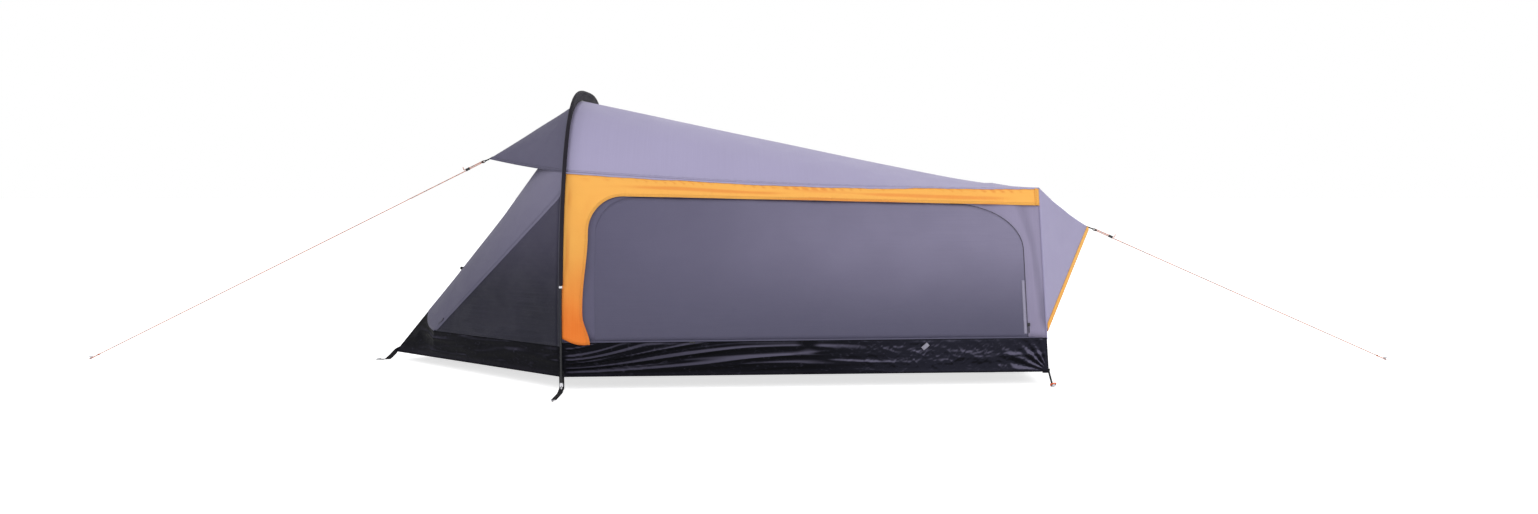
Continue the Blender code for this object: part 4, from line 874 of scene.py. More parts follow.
class Palette:
    """Every finish of the tent, each made once."""

    def __init__(self) -> None:
        """Set out the finishes."""
        self.roof = ClothFinish(
            "fly_lilac_cloth", "fly_lilac", LILAC, stitches=(0.004, 0.011), fold_line=0.014,
            sheen=0.05, crease=0.25,
        )
        self.margin = ClothFinish(
            "fly_margin_cloth", "fly_grey", linear(92, 89, 112), lit_end_colour=linear(148, 141, 168),
            light_from=0.7, light_to=1.90, stitches=(0.004, 0.010),
        )
        self.door = ClothFinish(
            "fly_grey_cloth", "fly_grey", linear(90, 87, 110), lit_end_colour=linear(130, 125, 150),
            shaded_low_colour=linear(85, 83, 104), shade_from=0.62, shade_to=0.18, light_to=1.7,
            stitches=(0.005,), crease=0.4,
        )
        self.panel = ClothFinish(
            "porch_grey_cloth", "fly_grey", linear(106, 103, 126), lit_end_colour=linear(124, 120, 144),
            light_from=-0.7, light_to=0.0, shaded_low_colour=linear(88, 86, 106), shade_from=0.85, shade_to=0.2,
            stitches=(0.004, 0.010), fold_line=0.013,
        )
        self.dark = ClothFinish(
            "porch_dark_cloth", "fly_dark", linear(70, 67, 86), shaded_low_colour=linear(22, 22, 36),
            shade_from=0.72, shade_to=0.30, stitches=(0.005,), crease=0.45, roughness=0.66,
        )
        self.hood = ClothFinish(
            "hood_cloth", "hood_dark", linear(94, 91, 114), stitches=(0.004, 0.012), fold_line=0.015,
            crease=0.3,
        )
        self.orange = ClothFinish(
            "fly_orange_cloth", "fly_orange", linear(246, 178, 84), shaded_low_colour=linear(238, 120, 38),
            shade_from=0.60, shade_to=0.22, stitches=(0.004, 0.009), fold_line=0.012,
            stitch_colour=linear(196, 110, 48), roughness=0.55, sheen=0.05, crease=0.3,
        )
        self.binding = ClothFinish(
            "binding_tape", "fly_orange", linear(252, 188, 92), shaded_low_colour=linear(250, 178, 76),
            shade_from=0.55, shade_to=0.25, stitches=(0.003,), stitch_colour=linear(190, 110, 50),
            thread=0.0014, roughness=0.6,
        )
        self.skirt = SkirtFinish()
        self.sleeve = ClothFinish(
            "sleeve_net", "sleeve_mesh", linear(36, 32, 44), weave=Weave.NET, thread=0.0022,
            roughness=0.7, crease=0.1, sheen=0.02,
        )
        self.net = ClothFinish(
            "insect_net", "inner_mesh", linear(44, 44, 49), weave=Weave.NET, thread=0.0018,
            stitches=(0.006,), roughness=0.75, crease=0.2,
        )
        self.inner = ClothFinish(
            "inner_cloth", "inner_grey", linear(200, 200, 207), weave=Weave.RIPSTOP,
            stitches=(0.005,), roughness=0.7, crease=0.35,
        )
        self.floor = ClothFinish(
            "floor_cloth", "floor_black", linear(48, 48, 54), roughness=0.5, stitches=(0.006,), crease=0.5,
        )
        self.webbing = WebbingFinish()
        self.cord = CordFinish()
        self.slider = HardFinish("slider_lacquered", "runner_black", linear(74, 71, 88), 0.2, 0.5)
        self.pole = HardFinish("pole_anodised", "pole_black", linear(18, 18, 22), 0.2, 0.45)
        self.metal = HardFinish("tip_turned", "tip_metal", linear(205, 205, 210), 1.0, 0.28)
        self.peg = HardFinish("peg_rod", "peg_metal", linear(196, 196, 201), 1.0, 0.36)
        self.ring = HardFinish(
            "ring_moulded", "ring_orange", linear(236, 92, 18), 0.0, 0.3, 0.15, (60, 60, 60)
        )
        self.runner = HardFinish(
            "runner_moulded", "runner_black", linear(30, 30, 33), 0.0, 0.42, 0.3, (90, 90, 90)
        )
        self.rod = HardFinish("rod_fibre", "rod_black", linear(46, 46, 49), 0.0, 0.38)
        self.elastic = CordFinish(
            "shock_cord", "elastic_white", linear(214, 214, 209), linear(235, 235, 232), linear(120, 120, 120)
        )
        self.zip = ClothFinish(
            "zip_tape", "fly_lilac", linear(150, 146, 168), thread=0.0022, roughness=0.6, stitches=(0.002,),
        )
        self.coil = HardFinish(
            "zip_coil", "runner_black", linear(38, 38, 42), 0.0, 0.35, 0.4, (900, 900, 900)
        )
        self.tag = ClothFinish(
            "care_tab", "inner_grey", linear(150, 148, 162), thread=0.0007, stitches=(0.001,), crease=0.1
        )
        self.made: dict[str, bpy.types.Material] = {}

    def material(self, finish: Finish) -> bpy.types.Material:
        """The finish's material, made at its first use.

        Args:
            finish: The finish.

        Returns:
            The material.
        """
        if finish.name not in self.made:
            self.made[finish.name] = finish.make()
        return self.made[finish.name]


# Making pieces


@dataclass
class Patch:
    """One grid of a cloth piece."""

    columns: int
    rows: int
    surface: Surface
    relief: Relief | None = None
    hems: tuple[Border, ...] = ()


class Workshop:
    """Makes meshes and curves and puts them on the tent."""

    def __init__(self, palette: Palette) -> None:
        """Keep the finishes at hand.

        Args:
            palette: The finishes.
        """
        self.palette = palette

    def own(
        self, piece: bpy.types.Object, finish: Finish, body: str = ROOT, replaced: Sequence[str] = ()
    ) -> None:
        """Give a piece its finish and its body, and hide the nodes that it replaces.

        Args:
            piece: The piece, in place.
            finish: Its finish.
            body: The body that it rides on.
            replaced: The nodes that it replaces.
        """
        piece.data.materials.clear()
        piece.data.materials.append(self.palette.material(finish))
        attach(piece, body)
        if replaced:
            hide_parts(*replaced)
        log.info("%s rides on %s", piece.name, body)

    def link(self, name: str, data: bpy.types.ID) -> bpy.types.Object:
        """Put data in the scene as an object.

        Args:
            name: The object's name.
            data: Its data.

        Returns:
            The object.
        """
        piece = bpy.data.objects.new(name, data)
        bpy.context.scene.collection.objects.link(piece)
        return piece

    def shaped(self, name: str, mesh: bmesh.types.BMesh, sharp: float | None = None) -> bpy.types.Object:
        """Turn a mesh into a smooth object.

        Args:
            name: The object's name.
            mesh: The mesh, which is freed.
            sharp: The angle in degrees above which an edge stays sharp.

        Returns:
            The object.
        """
        data = bpy.data.meshes.new(name)
        mesh.to_mesh(data)
        mesh.free()
        data.shade_smooth()
        if sharp:
            data.set_sharp_from_angle(angle=radians(sharp))
        return self.link(name, data)

    def grid(self, mesh: bmesh.types.BMesh, patch: Patch, inside: Vector) -> tuple[float, float]:
        """Add a patch to a mesh, with its relief and its UV layers.

        Args:
            mesh: The mesh.
            patch: The patch.
            inside: A point inside the tent, which the cloth faces away from.

        Returns:
            The longest run of the patch each way.
        """
        nu, nv = patch.columns, patch.rows
        flat = [[patch.surface(i / nu, j / nv) for j in range(nv + 1)] for i in range(nu + 1)]
        run = [[0.0] * (nv + 1) for _ in range(nu + 1)]
        rise = [[0.0] * (nv + 1) for _ in range(nu + 1)]
        for i in range(nu + 1):
            for j in range(nv + 1):
                if i:
                    run[i][j] = run[i - 1][j] + (flat[i][j] - flat[i - 1][j]).length
                if j:
                    rise[i][j] = rise[i][j - 1] + (flat[i][j] - flat[i][j - 1]).length
        made = bmesh.ops.create_grid(mesh, x_segments=nu, y_segments=nv, size=1.0)["verts"]
        spots: dict[bmesh.types.BMVert, tuple[int, int]] = {}
        for vertex in made:
            i, j = round((vertex.co.x + 1) / 2 * nu), round((vertex.co.y + 1) / 2 * nv)
            spots[vertex] = (i, j)
            vertex.co = self.raised(flat, patch, inside, i, j)
        layers = mesh.loops.layers.uv
        cloth, hem, facing = (layers.get(name) or layers.new(name) for name in ("cloth", "hem", "facing"))
        for face in {face for vertex in made for face in vertex.link_faces}:
            for loop in face.loops:
                i, j = spots[loop.vert]
                loop[facing].uv = self.facing(patch, rise, i, j)
                loop[cloth].uv = (run[i][j], rise[i][j])
                loop[hem].uv = self.hem_place(patch, run, rise, i, j)
        return max(run[nu]), max(rise[i][nv] for i in range(nu + 1))

    def raised(self, flat: list[list[Vector]], patch: Patch, inside: Vector, i: int, j: int) -> Vector:
        """Move a grid's point along its normal by the patch's relief.

        Args:
            flat: The grid without its relief.
            patch: The patch.
            inside: A point inside the tent.
            i: The point's column.
            j: The point's row.

        Returns:
            The point's place.
        """
        nu, nv = patch.columns, patch.rows
        along = flat[min(i + 1, nu)][j] - flat[max(i - 1, 0)][j]
        normal = along.cross(flat[i][min(j + 1, nv)] - flat[i][max(j - 1, 0)])
        if not patch.relief or normal.length < 1e-12:
            return flat[i][j]
        normal.normalize()
        if normal.dot(flat[i][j] - inside) < 0:
            normal.negate()
        return flat[i][j] + normal * patch.relief(i / nu, j / nv)

    def facing(self, patch: Patch, rise: list[list[float]], i: int, j: int) -> tuple[float, float]:
        """Tell how steeply the relief leans back from the upright, for the painted light and shade of the
        finishes.

        Args:
            patch: The patch.
            rise: The run across the cloth at each point.
            i: The point's column.
            j: The point's row.

        Returns:
            The lean, which is more than 0.5 where the relief faces the sky, and 0.
        """
        if not patch.relief:
            return 0.5, 0.0
        low, high = max(0, j - 1), min(patch.rows, j + 1)
        u, run = i / patch.columns, rise[i][high] - rise[i][low]
        lean = patch.relief(u, low / patch.rows) - patch.relief(u, high / patch.rows)
        return min(1.0, max(0.0, 0.5 + 0.5 * lean / max(run, 1e-6))), 0.0

    def hem_place(
        self, patch: Patch, run: list[list[float]], rise: list[list[float]], i: int, j: int
    ) -> tuple[float, float]:
        """Find a point's place by the nearest hemmed border.

        Args:
            patch: The patch.
            run: The run along the cloth at each point.
            rise: The run across the cloth at each point.
            i: The point's column.
            j: The point's row.

        Returns:
            The run along the border and the distance from it.
        """
        nu, nv = patch.columns, patch.rows
        found = (run[i][j], 1.0)
        for border in patch.hems:
            away, along = {
                Border.START: (run[i][j], rise[0][j]),
                Border.FINISH: (run[nu][j] - run[i][j], rise[nu][j]),
                Border.LOWER: (rise[i][j], run[i][0]),
                Border.UPPER: (rise[i][nv] - rise[i][j], run[i][nv]),
            }[border]
            if away < found[1]:
                found = (along, away)
        return found

    def cloth(
        self, name: str, patches: Sequence[Patch], finish: Finish, held: str, replaced: Sequence[str],
        body: str = ROOT, rests_on: Sequence[str] = (), inside: tuple[float, float, float] = CABIN,
        thickness: float = 0.0009, offset: float = -1.0,
    ) -> None:
        """Args:
            name: The piece's name.
            patches: Its grids.
            finish: Its finish.
            held: How it is held; not used.
            replaced: The nodes that it replaces.
            body: The body that it rides on.
            rests_on: What it hangs from or lies on; not used.
            inside: A point inside the tent.
            thickness: The cloth's thickness.
            offset: -1 keeps the outer face on the surface, 0 the middle.
        """
        mesh = bmesh.new()
        middle = Vector(inside)
        runs = [self.grid(mesh, patch, middle) for patch in patches]
        bmesh.ops.remove_doubles(mesh, verts=mesh.verts, dist=2e-5)
        bmesh.ops.dissolve_degenerate(mesh, dist=1e-6, edges=mesh.edges)
        bmesh.ops.recalc_face_normals(mesh, faces=mesh.faces)
        mesh.normal_update()
        if sum(f.calc_area() * f.normal.dot(f.calc_center_median() - middle) for f in mesh.faces) < 0:
            bmesh.ops.reverse_faces(mesh, faces=mesh.faces)
        area = sum(f.calc_area() for f in mesh.faces)
        piece = self.shaped(name, mesh, 50)
        shell = piece.modifiers.new("thickness", "SOLIDIFY")
        shell.thickness, shell.offset, shell.use_even_offset = thickness, offset, False
        self.own(piece, finish, body, replaced)

    def strap(
        self, name: str, path: Sequence[Vector], half_width: float, across: Vector, body: str = ROOT,
        replaced: Sequence[str] = (), thickness: float = 0.0011, rests_on: Sequence[str] = (),
        finish: Finish | None = None, round_end: bool = False, fold: float = 0.0, twist: float = 0.0,
    ) -> None:
        """Make a flat strap along a path, lying along the direction across.

        Args:
            name: The piece's name.
            path: The points along its middle.
            half_width: Half of its width.
            across: The direction of its width.
            body: The body that it rides on.
            replaced: The nodes that it replaces.
            thickness: Its thickness.
            rests_on: What it lies on or hangs from.
            finish: Its finish; webbing if none is given.
            round_end: Whether its last end is cut round.
            fold: How far its sides hang down, as a share of its half width.
            twist: The angle that it is turned by in its middle.
        """
        points = curve_through(list(path), half_width / 2)
        last = len(points) - 1
        lengths = [0.0]
        for a, b in zip(points, points[1:]):
            lengths.append(lengths[-1] + (b - a).length)
        across = across.normalized()

        def half_at(k: int) -> float:
            """Half of the width at a point of the path.

            Args:
                k: The point's number.

            Returns:
                Half of the width.
            """
            left = lengths[last] - lengths[k]
            if not round_end or left >= half_width:
                return half_width
            return half_width * max(0.3, sqrt(max(0.0, 1 - (1 - left / half_width) ** 2)))

        def surface(u: float, v: float) -> Vector:
            """Point of the strap.

            Args:
                u: Share of the way along.
                v: Share of the way across.

            Returns:
                The point.
            """
            k = round(u * last)
            run = (points[min(last, k + 1)] - points[max(0, k - 1)]).normalized()
            turn = twist * sin(pi * min(1.0, u / 0.75))
            sideways = across * cos(turn) + run.cross(across) * sin(turn)
            reach = half_at(k) * (2 * v - 1)
            return points[k] + sideways * reach - Z_AXIS * (fold * abs(reach))

        patch = Patch(last, 4, surface, hems=(Border.LOWER, Border.UPPER))
        self.cloth(
            name, [patch], finish or self.palette.webbing, "stretched", replaced, body, rests_on,
            tuple(points[0] - Z_AXIS), thickness, 0.0,
        )

    def rope(
        self, name: str, points: Sequence[Vector], radius: float, finish: Finish, resolution: int = 1,
        replaced: Sequence[str] = (),
    ) -> bpy.types.Object:
        """Make a round cord or rod as a curve of one open spline.

        Args:
            name: The piece's name.
            points: Its middle line.
            radius: Its radius.
            finish: Its finish.
            resolution: How finely it is rounded.
            replaced: The nodes that it replaces.

        Returns:
            The piece, on the tent's own body.
        """
        data = bpy.data.curves.new(name, "CURVE")
        data.dimensions = "3D"
        data.bevel_depth, data.bevel_resolution, data.use_fill_caps = radius, resolution, True
        spline = data.splines.new("POLY")
        spline.points.add(len(points) - 1)
        for k, point in enumerate(points):
            spline.points[k].co = (*point, 1.0)
        piece = self.link(name, data)
        self.own(piece, finish, ROOT, replaced)
        return piece

    def turned(self, name: str, profile: Sequence[tuple[float, float]], place: Vector) -> bpy.types.Object:
        """Make a piece turned round the upright.

        Args:
            name: The piece's name.
            profile: Radius and height of its points, from the top down its outer side.
            place: Where its middle line starts.

        Returns:
            The piece.
        """
        data = bpy.data.meshes.new(name)
        rim = [(radius, 0.0, height) for radius, height in profile]
        data.from_pydata(rim, [(k, k + 1) for k in range(len(rim) - 1)], [])
        piece = self.link(name, data)
        piece.location = place
        screw = piece.modifiers.new("turn", "SCREW")
        screw.axis = "Z"
        screw.steps = screw.render_steps = 24
        screw.use_merge_vertices, screw.merge_threshold, screw.use_smooth_shade = True, 0.00002, True
        return piece

    def block(
        self, name: str, centre: Vector, axes: Sequence[Vector], size: tuple[float, float, float],
        bevel: float, finish: Finish,
    ) -> None:
        """Make a small moulded block with rounded edges.

        Args:
            name: The piece's name.
            centre: Its middle.
            axes: Its three directions.
            size: Its size along each.
            bevel: The radius of its edges.
            finish: Its finish.
        """
        mesh = bmesh.new()
        bmesh.ops.create_cube(mesh, size=1.0)
        for vertex in mesh.verts:
            co = vertex.co.copy()
            vertex.co = centre + sum((axes[k] * (co[k] * size[k]) for k in range(3)), Vector())
        bmesh.ops.bevel(
            mesh, geom=mesh.edges[:], offset=bevel, segments=3, profile=0.5, affect="EDGES",
            clamp_overlap=True,
        )
        bmesh.ops.recalc_face_normals(mesh, faces=mesh.faces)
        self.own(self.shaped(name, mesh), finish)

    def dress(self, node: str, finish: Finish) -> None:
        """Give a kept node a finish through its material slots.

        Args:
            node: The node's name.
            finish: The finish.
        """
        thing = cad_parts[node]
        material = self.palette.material(finish)
        if not thing.material_slots:
            thing.data.materials.append(material)
        for slot in thing.material_slots:
            slot.material = material
        log.info("%s keeps its solid", node)


def curve_through(points: list[Vector], step: float) -> list[Vector]:
    """Smooth curve through a route, with a point about every step but few on long straights.

    Args:
        points: The route's own points.
        step: The spacing.

    Returns:
        The curve's points.
    """
    padded = [2 * points[0] - points[1]] + points + [2 * points[-1] - points[-2]]
    path = []
    for a, b, c, d in zip(padded, padded[1:], padded[2:], padded[3:]):
        run = (c - b).length
        count = 2 if run > 10 * step else max(1, min(4, round(run / step)))
        pull_b = (c - a).normalized() * run
        pull_c = (d - b).normalized() * run
        for k in range(count):
            t = k / count
            path.append(
                b * (2 * t**3 - 3 * t**2 + 1)
                + pull_b * (t**3 - 2 * t**2 + t)
                + c * (3 * t**2 - 2 * t**3)
                + pull_c * (t**3 - t**2)
            )
    path.append(points[-1])
    return path


# Camera, floor and light


@dataclass(frozen=True)
class Lamp:
    """A square soft lamp."""

    name: str
    place: tuple[float, float, float]
    size: float
    power: float


@dataclass
class Studio:
    """The camera at the photograph's angle, a pale floor and soft light."""

    eye: tuple[float, float, float] = (0.823, -4.71, 0.895)
    focal: float = 24.67
    sensor: float = 36.0
    sight: float = 200.0
    down: float = 5.2
    left: float = 0.2
    floor_size: float = 40.0
    floor_glow: float = 0.70
    sky: float = 0.62
    aim: tuple[float, float, float] = (0.8, 0.0, 0.5)
    lamps: tuple[Lamp, ...] = (
        Lamp("key", (3.6, -5.2, 4.6), 5.0, 210.0),
        Lamp("fill", (-4.5, -3.0, 3.6), 4.0, 60.0),
        Lamp("back", (2.0, 5.5, 4.5), 5.0, 90.0),
    )

    def put(self, name: str, data: bpy.types.ID) -> bpy.types.Object:
        """Put data in the scene as an object.

        Args:
            name: The object's name.
            data: Its data.

        Returns:
            The object.
        """
        thing = bpy.data.objects.new(name, data)
        bpy.context.scene.collection.objects.link(thing)
        return thing

    def camera(self) -> None:
        """Set up the camera."""
        data = bpy.data.cameras.new("camera")
        data.lens, data.sensor_width, data.clip_end = self.focal, self.sensor, self.sight
        thing = self.put("camera", data)
        thing.location = self.eye
        thing.rotation_euler = (radians(90 - self.down), 0.0, radians(self.left))
        bpy.context.scene.camera = thing

    def floor(self) -> None:
        """Lay a white floor that keeps the tent's shadow."""
        mesh = bmesh.new()
        bmesh.ops.create_grid(mesh, x_segments=2, y_segments=2, size=self.floor_size / 2)
        data = bpy.data.meshes.new("floor")
        mesh.to_mesh(data)
        mesh.free()
        sheet = NodeSheet("floor_paper")
        grain = sheet.noise(sheet.place(), 30.0)
        sheet.set(Base_Color=sheet.blend(grain, linear(232, 232, 234), linear(238, 238, 239)), Roughness=0.9)
        rays = sheet.add("LightPath", {}).outputs
        seen = sheet.maths("ADD", rays["Is Camera Ray"], rays["Is Glossy Ray"])
        seen = sheet.maths("MINIMUM", sheet.maths("ADD", seen, rays["Is Transmission Ray"]), 1.0)
        glow = sheet.add("Emission", {"Strength": sheet.maths("MULTIPLY", seen, self.floor_glow)})
        both = sheet.add("AddShader", {0: sheet.shader.outputs[0], 1: glow.outputs[0]})
        sheet.link(both.outputs[0], sheet.tree.nodes["Material Output"].inputs["Surface"])
        data.materials.append(sheet.material)
        self.put("floor", data)

    def world(self) -> None:
        """Make a pale world that is plain white to the camera."""
        world = bpy.data.worlds.new("studio")
        bpy.context.scene.world = world
        world.use_nodes = True
        tree = world.node_tree
        tree.nodes.clear()
        kinds = ("LightPath", "Math", "Background", "Background", "MixShader", "OutputWorld")
        rays, seen, soft, white, joined, end = (tree.nodes.new(f"ShaderNode{kind}") for kind in kinds)
        seen.operation = "MAXIMUM"
        for background, strength in ((soft, self.sky), (white, 1.0)):
            background.inputs["Color"].default_value = (1.0, 1.0, 1.0, 1.0)
            background.inputs["Strength"].default_value = strength
        for source, target in (
            (rays.outputs["Is Camera Ray"], seen.inputs[0]),
            (rays.outputs["Is Transmission Ray"], seen.inputs[1]),
            (seen.outputs[0], joined.inputs[0]), (soft.outputs[0], joined.inputs[1]),
            (white.outputs[0], joined.inputs[2]), (joined.outputs[0], end.inputs["Surface"]),
        ):
            tree.links.new(source, target)

    def light(self) -> None:
        """Set up the lamps."""
        for lamp in self.lamps:
            data = bpy.data.lights.new(lamp.name, "AREA")
            data.size, data.energy = lamp.size, lamp.power
            thing = self.put(lamp.name, data)
            thing.location = lamp.place
            thing.rotation_euler = (Vector(self.aim) - Vector(lamp.place)).to_track_quat("-Z", "Y").to_euler()

    def build(self) -> None:
        """Set up the floor and the light."""
        self.floor()
        self.world()
        self.light()
        bpy.context.scene.view_settings.view_transform = "Standard"


# Outlines


@dataclass(frozen=True)
class Counts:
    """Steps along an outline: up a leg, round a corner and along the top."""

    legs: int
    turns: int
    tops: int


@dataclass(frozen=True)
class Doorway:
    """A doorway with round upper corners; an outline holds (s, height) pairs."""

    start: float
    end: float
    bottom: float
    front: tuple[float, float]
    rear: tuple[float, float]
    top: Callable[[float], float]
    counts: Counts

    def outline(self) -> Outline:
        """Go round the doorway, from its front foot to its rear foot.

        Returns:
            The outline.
        """
        legs, turns, tops = self.counts.legs, self.counts.turns, self.counts.tops
        start, end, front, rear = self.start, self.end, self.front, self.rear
        front_low = self.top(start + front[0]) - front[1]
        rear_low = self.top(end - rear[0]) - rear[1]
        points = [(start, mix(self.bottom, front_low, k / legs)) for k in range(legs)]
        for k in range(turns):
            turn = pi / 2 * k / turns
            points.append((start + front[0] * (1 - cos(turn)), front_low + front[1] * sin(turn)))
        for k in range(tops):
            s = mix(start + front[0], end - rear[0], k / tops)
            points.append((s, self.top(s)))
        for k in range(turns + 1):
            turn = pi / 2 * (1 - k / turns)
            points.append((end - rear[0] * (1 - cos(turn)), rear_low + rear[1] * sin(turn)))
        return points + [(end, mix(rear_low, self.bottom, k / legs)) for k in range(1, legs + 1)]

    def frame(self, front_foot: float, rear_foot: float, top: Callable[[float], float]) -> Outline:
        """Go round the wall that frames the doorway, point for point with its outline.

        Args:
            front_foot: Height of the wall's lower edge in front.
            rear_foot: The same at the rear.
            top: Height of the wall's upper edge.

        Returns:
            The outer outline.
        """
        inner = self.outline()
        legs, turns, tops = self.counts.legs, self.counts.turns, self.counts.tops
        half = turns // 2
        low = inner[legs][1]
        points = [(0.0, mix(front_foot, low, k / legs)) for k in range(legs)]
        points += [(0.0, mix(low, top(0.0), k / half)) for k in range(half)]
        along = [mix(0.0, inner[legs + turns][0], k / (turns - half)) for k in range(turns - half)]
        along += [inner[legs + turns + k][0] for k in range(tops)]
        along += [mix(inner[legs + turns + tops][0], 1.0, k / (turns - half)) for k in range(turns - half)]
        points += [(s, top(s)) for s in along]
        low = inner[legs + 2 * turns + tops][1]
        points += [(1.0, mix(top(1.0), low, k / half)) for k in range(half + 1)]
        return points + [(1.0, mix(low, rear_foot, k / legs)) for k in range(1, legs + 1)]

    def arch(self, outline: Outline) -> Outline:
        """The part of an outline above the legs."""
        legs, turns, tops = self.counts.legs, self.counts.turns, self.counts.tops
        return outline[legs : legs + 2 * turns + tops + 1]


def between(outer: Outline, inner: Outline, u: float, v: float) -> tuple[float, float]:
    """Find a place between two outlines that match point for point.

    Args:
        outer: One outline.
        inner: The other.
        u: Share of the way along both.
        v: Share of the way from the outer to the inner one.

    Returns:
        The place's s and height.
    """
    k = round(u * (len(outer) - 1))
    return mix(outer[k][0], inner[k][0], v), mix(outer[k][1], inner[k][1], v)


# Sub-assemblies


@dataclass
class SubAssembly:
    """A part of the tent, made on its shared shape with the workshop's tools."""

    shape: TentShape
    shop: Workshop

    @property
    def palette(self) -> Palette:
        """The finishes."""
        return self.shop.palette


# Guylines


@dataclass
class Guylines(SubAssembly):
    """Both guylines, each with its runner, and the webbing loops that hold them."""

    cord_radius: float = 0.00125
    cord_width: float = 0.0034
    peg_radius: float = 0.0035
    front_peg_x: float = -2.270
    rear_peg_x: float = 3.590
    peg_loop_height: float = 0.0040
    peg_loop: float = 0.040
    knot_turns: int = 3
    knot_steps: int = 12
    loop_length: float = 0.030
    loop_sewn: float = 0.022
    loop_half_width: float = 0.008
    webbing: float = 0.0012
    runner_distance: float = 0.066
    runner_length: float = 0.018
    runner_half_width: float = 0.0045
    runner_half_height: float = 0.0068
    runner_waist: float = 0.18
    runner_around: int = 24
    runner_stations: int = 14
    strand: float = 0.0026
    beyond_cord: float = 0.0045
    tail: float = 0.014

    def ridge(self, end: End, t: float) -> Vector:
        """Point of the hood's or the beak's ridge."""
        return self.shape.hood_point(0.0, t) if end is End.FRONT else self.shape.beak_point(0.0, t)

    def peg_place(self, end: End) -> Vector:
        """Where the guyline goes round its peg."""
        return Vector((self.front_peg_x if end is End.FRONT else self.rear_peg_x, 0.0, self.peg_loop_height))

    def line(self, anchor: Vector, end: End) -> tuple[Vector, Vector, float]:
        """Find how a guyline runs from its loop down to its peg.

        Args:
            anchor: The middle of the cord's turn in the loop.
            end: The tent's end.

        Returns:
            The direction down, the direction square to it and up, and the length.
        """
        down = self.peg_place(end) - anchor
        heading = down.normalized()
        outward = Vector((-heading.z, 0.0, heading.x))
        return heading, -outward if outward.z < 0 else outward, down.length

    def sewn(self, end: End) -> tuple[Vector, Vector, Vector]:
        """Find where a loop is sewn on.

        Args:
            end: The tent's end.

        Returns:
            Both ends of the loop's sewn part, and the middle of the cord's turn in it.
        """
        tip = self.ridge(end, 1.0)
        before = self.ridge(end, 1.0 - self.loop_sewn / (self.ridge(end, 0.0) - tip).length)
        along = (tip - before).normalized()
        up = Vector((-along.z, 0.0, along.x))
        lift = (-up if up.z < 0 else up) * (self.webbing / 2 + 3 * self.shape.clearance)
        heading, _, _ = self.line(tip, end)
        return before + lift, tip + lift, tip + lift + heading * self.loop_length

    def route(self, anchor: Vector, end: End) -> list[Vector]:
        """Centre line of a guyline: from the peg up to the loop, round and back to the runner.

        Args:
            anchor: The middle of the cord's turn in the loop.
            end: The tent's end.

        Returns:
            The line's points.
        """
        heading, outward, length = self.line(anchor, end)
        turn = self.peg_radius + self.cord_radius + self.shape.clearance
        foot = self.peg_place(end)
        flat = Vector((heading.x, 0.0, 0.0)).normalized()
        apart = Y_AXIS * (self.cord_radius + self.shape.clearance)
        knot = foot - heading * self.peg_loop
        route = [knot - heading * (4 * self.cord_radius) + 2 * apart, knot + 1.8 * apart]
        for k in range(5):
            angle = pi * k / 4
            route.append(foot + Y_AXIS * turn * cos(angle) + flat * turn * sin(angle))
        route.append(knot - 0.2 * apart)
        lower = self.runner_distance + self.runner_length
        strand = outward * self.strand
        run = length - self.peg_loop - lower
        for k in (1, 2, 3, 4):
            route.append(anchor + heading * (lower + run * (1 - k / 5)) - strand * (k / 5))
        for reach in (lower + self.runner_length, lower, self.runner_distance, self.beyond_cord):
            route.append(anchor + heading * reach - strand)
        for k in range(5):
            angle = pi * (k / 4 - 0.5)
            route.append(anchor + (outward * sin(angle) - heading * cos(angle)) * self.strand)
        for reach in (self.beyond_cord, self.runner_distance, lower):
            route.append(anchor + heading * reach + strand)
        tail = anchor + heading * (lower + self.tail / 2) + strand * 1.4
        return curve_through(route + [tail, tail + outward * self.tail], 4 * self.cord_radius)

    def knot(self, end: End, place: Vector, heading: Vector) -> None:
        """Make a small overhand knot: turns of cord round the line.

        Args:
            end: The tent's end.
            place: The knot's middle.
            heading: The line's direction.
        """
        up = heading.cross(Y_AXIS).normalized()
        steps = self.knot_turns * self.knot_steps
        points = []
        for k in range(steps + 1):
            angle = tau * k / self.knot_steps
            along = heading * (self.cord_radius * 1.9 * (k / self.knot_steps - self.knot_turns / 2))
            swell = self.cord_radius * (1.95 + 0.25 * arc(k / steps))
            points.append(place + along + (Y_AXIS * cos(angle) + up * sin(angle)) * swell)
        self.shop.rope(f"knot_{end.value}", points, self.cord_radius * 0.9, self.palette.cord, 2)

    def cord(self, end: End) -> None:
        """Make one guyline, a cord that ends in a knot at its peg.

        Args:
            end: The tent's end.
        """
        _, _, anchor = self.sewn(end)
        points = self.route(anchor, end)
        heading, _, _ = self.line(anchor, end)
        piece = self.shop.rope(
            f"guy_cord_{end.value}", points, self.cord_width / 2, self.palette.cord, 2,
            [f"guyline_{end.value}"],
        )
        self.knot(end, self.peg_place(end) - heading * self.peg_loop, heading)

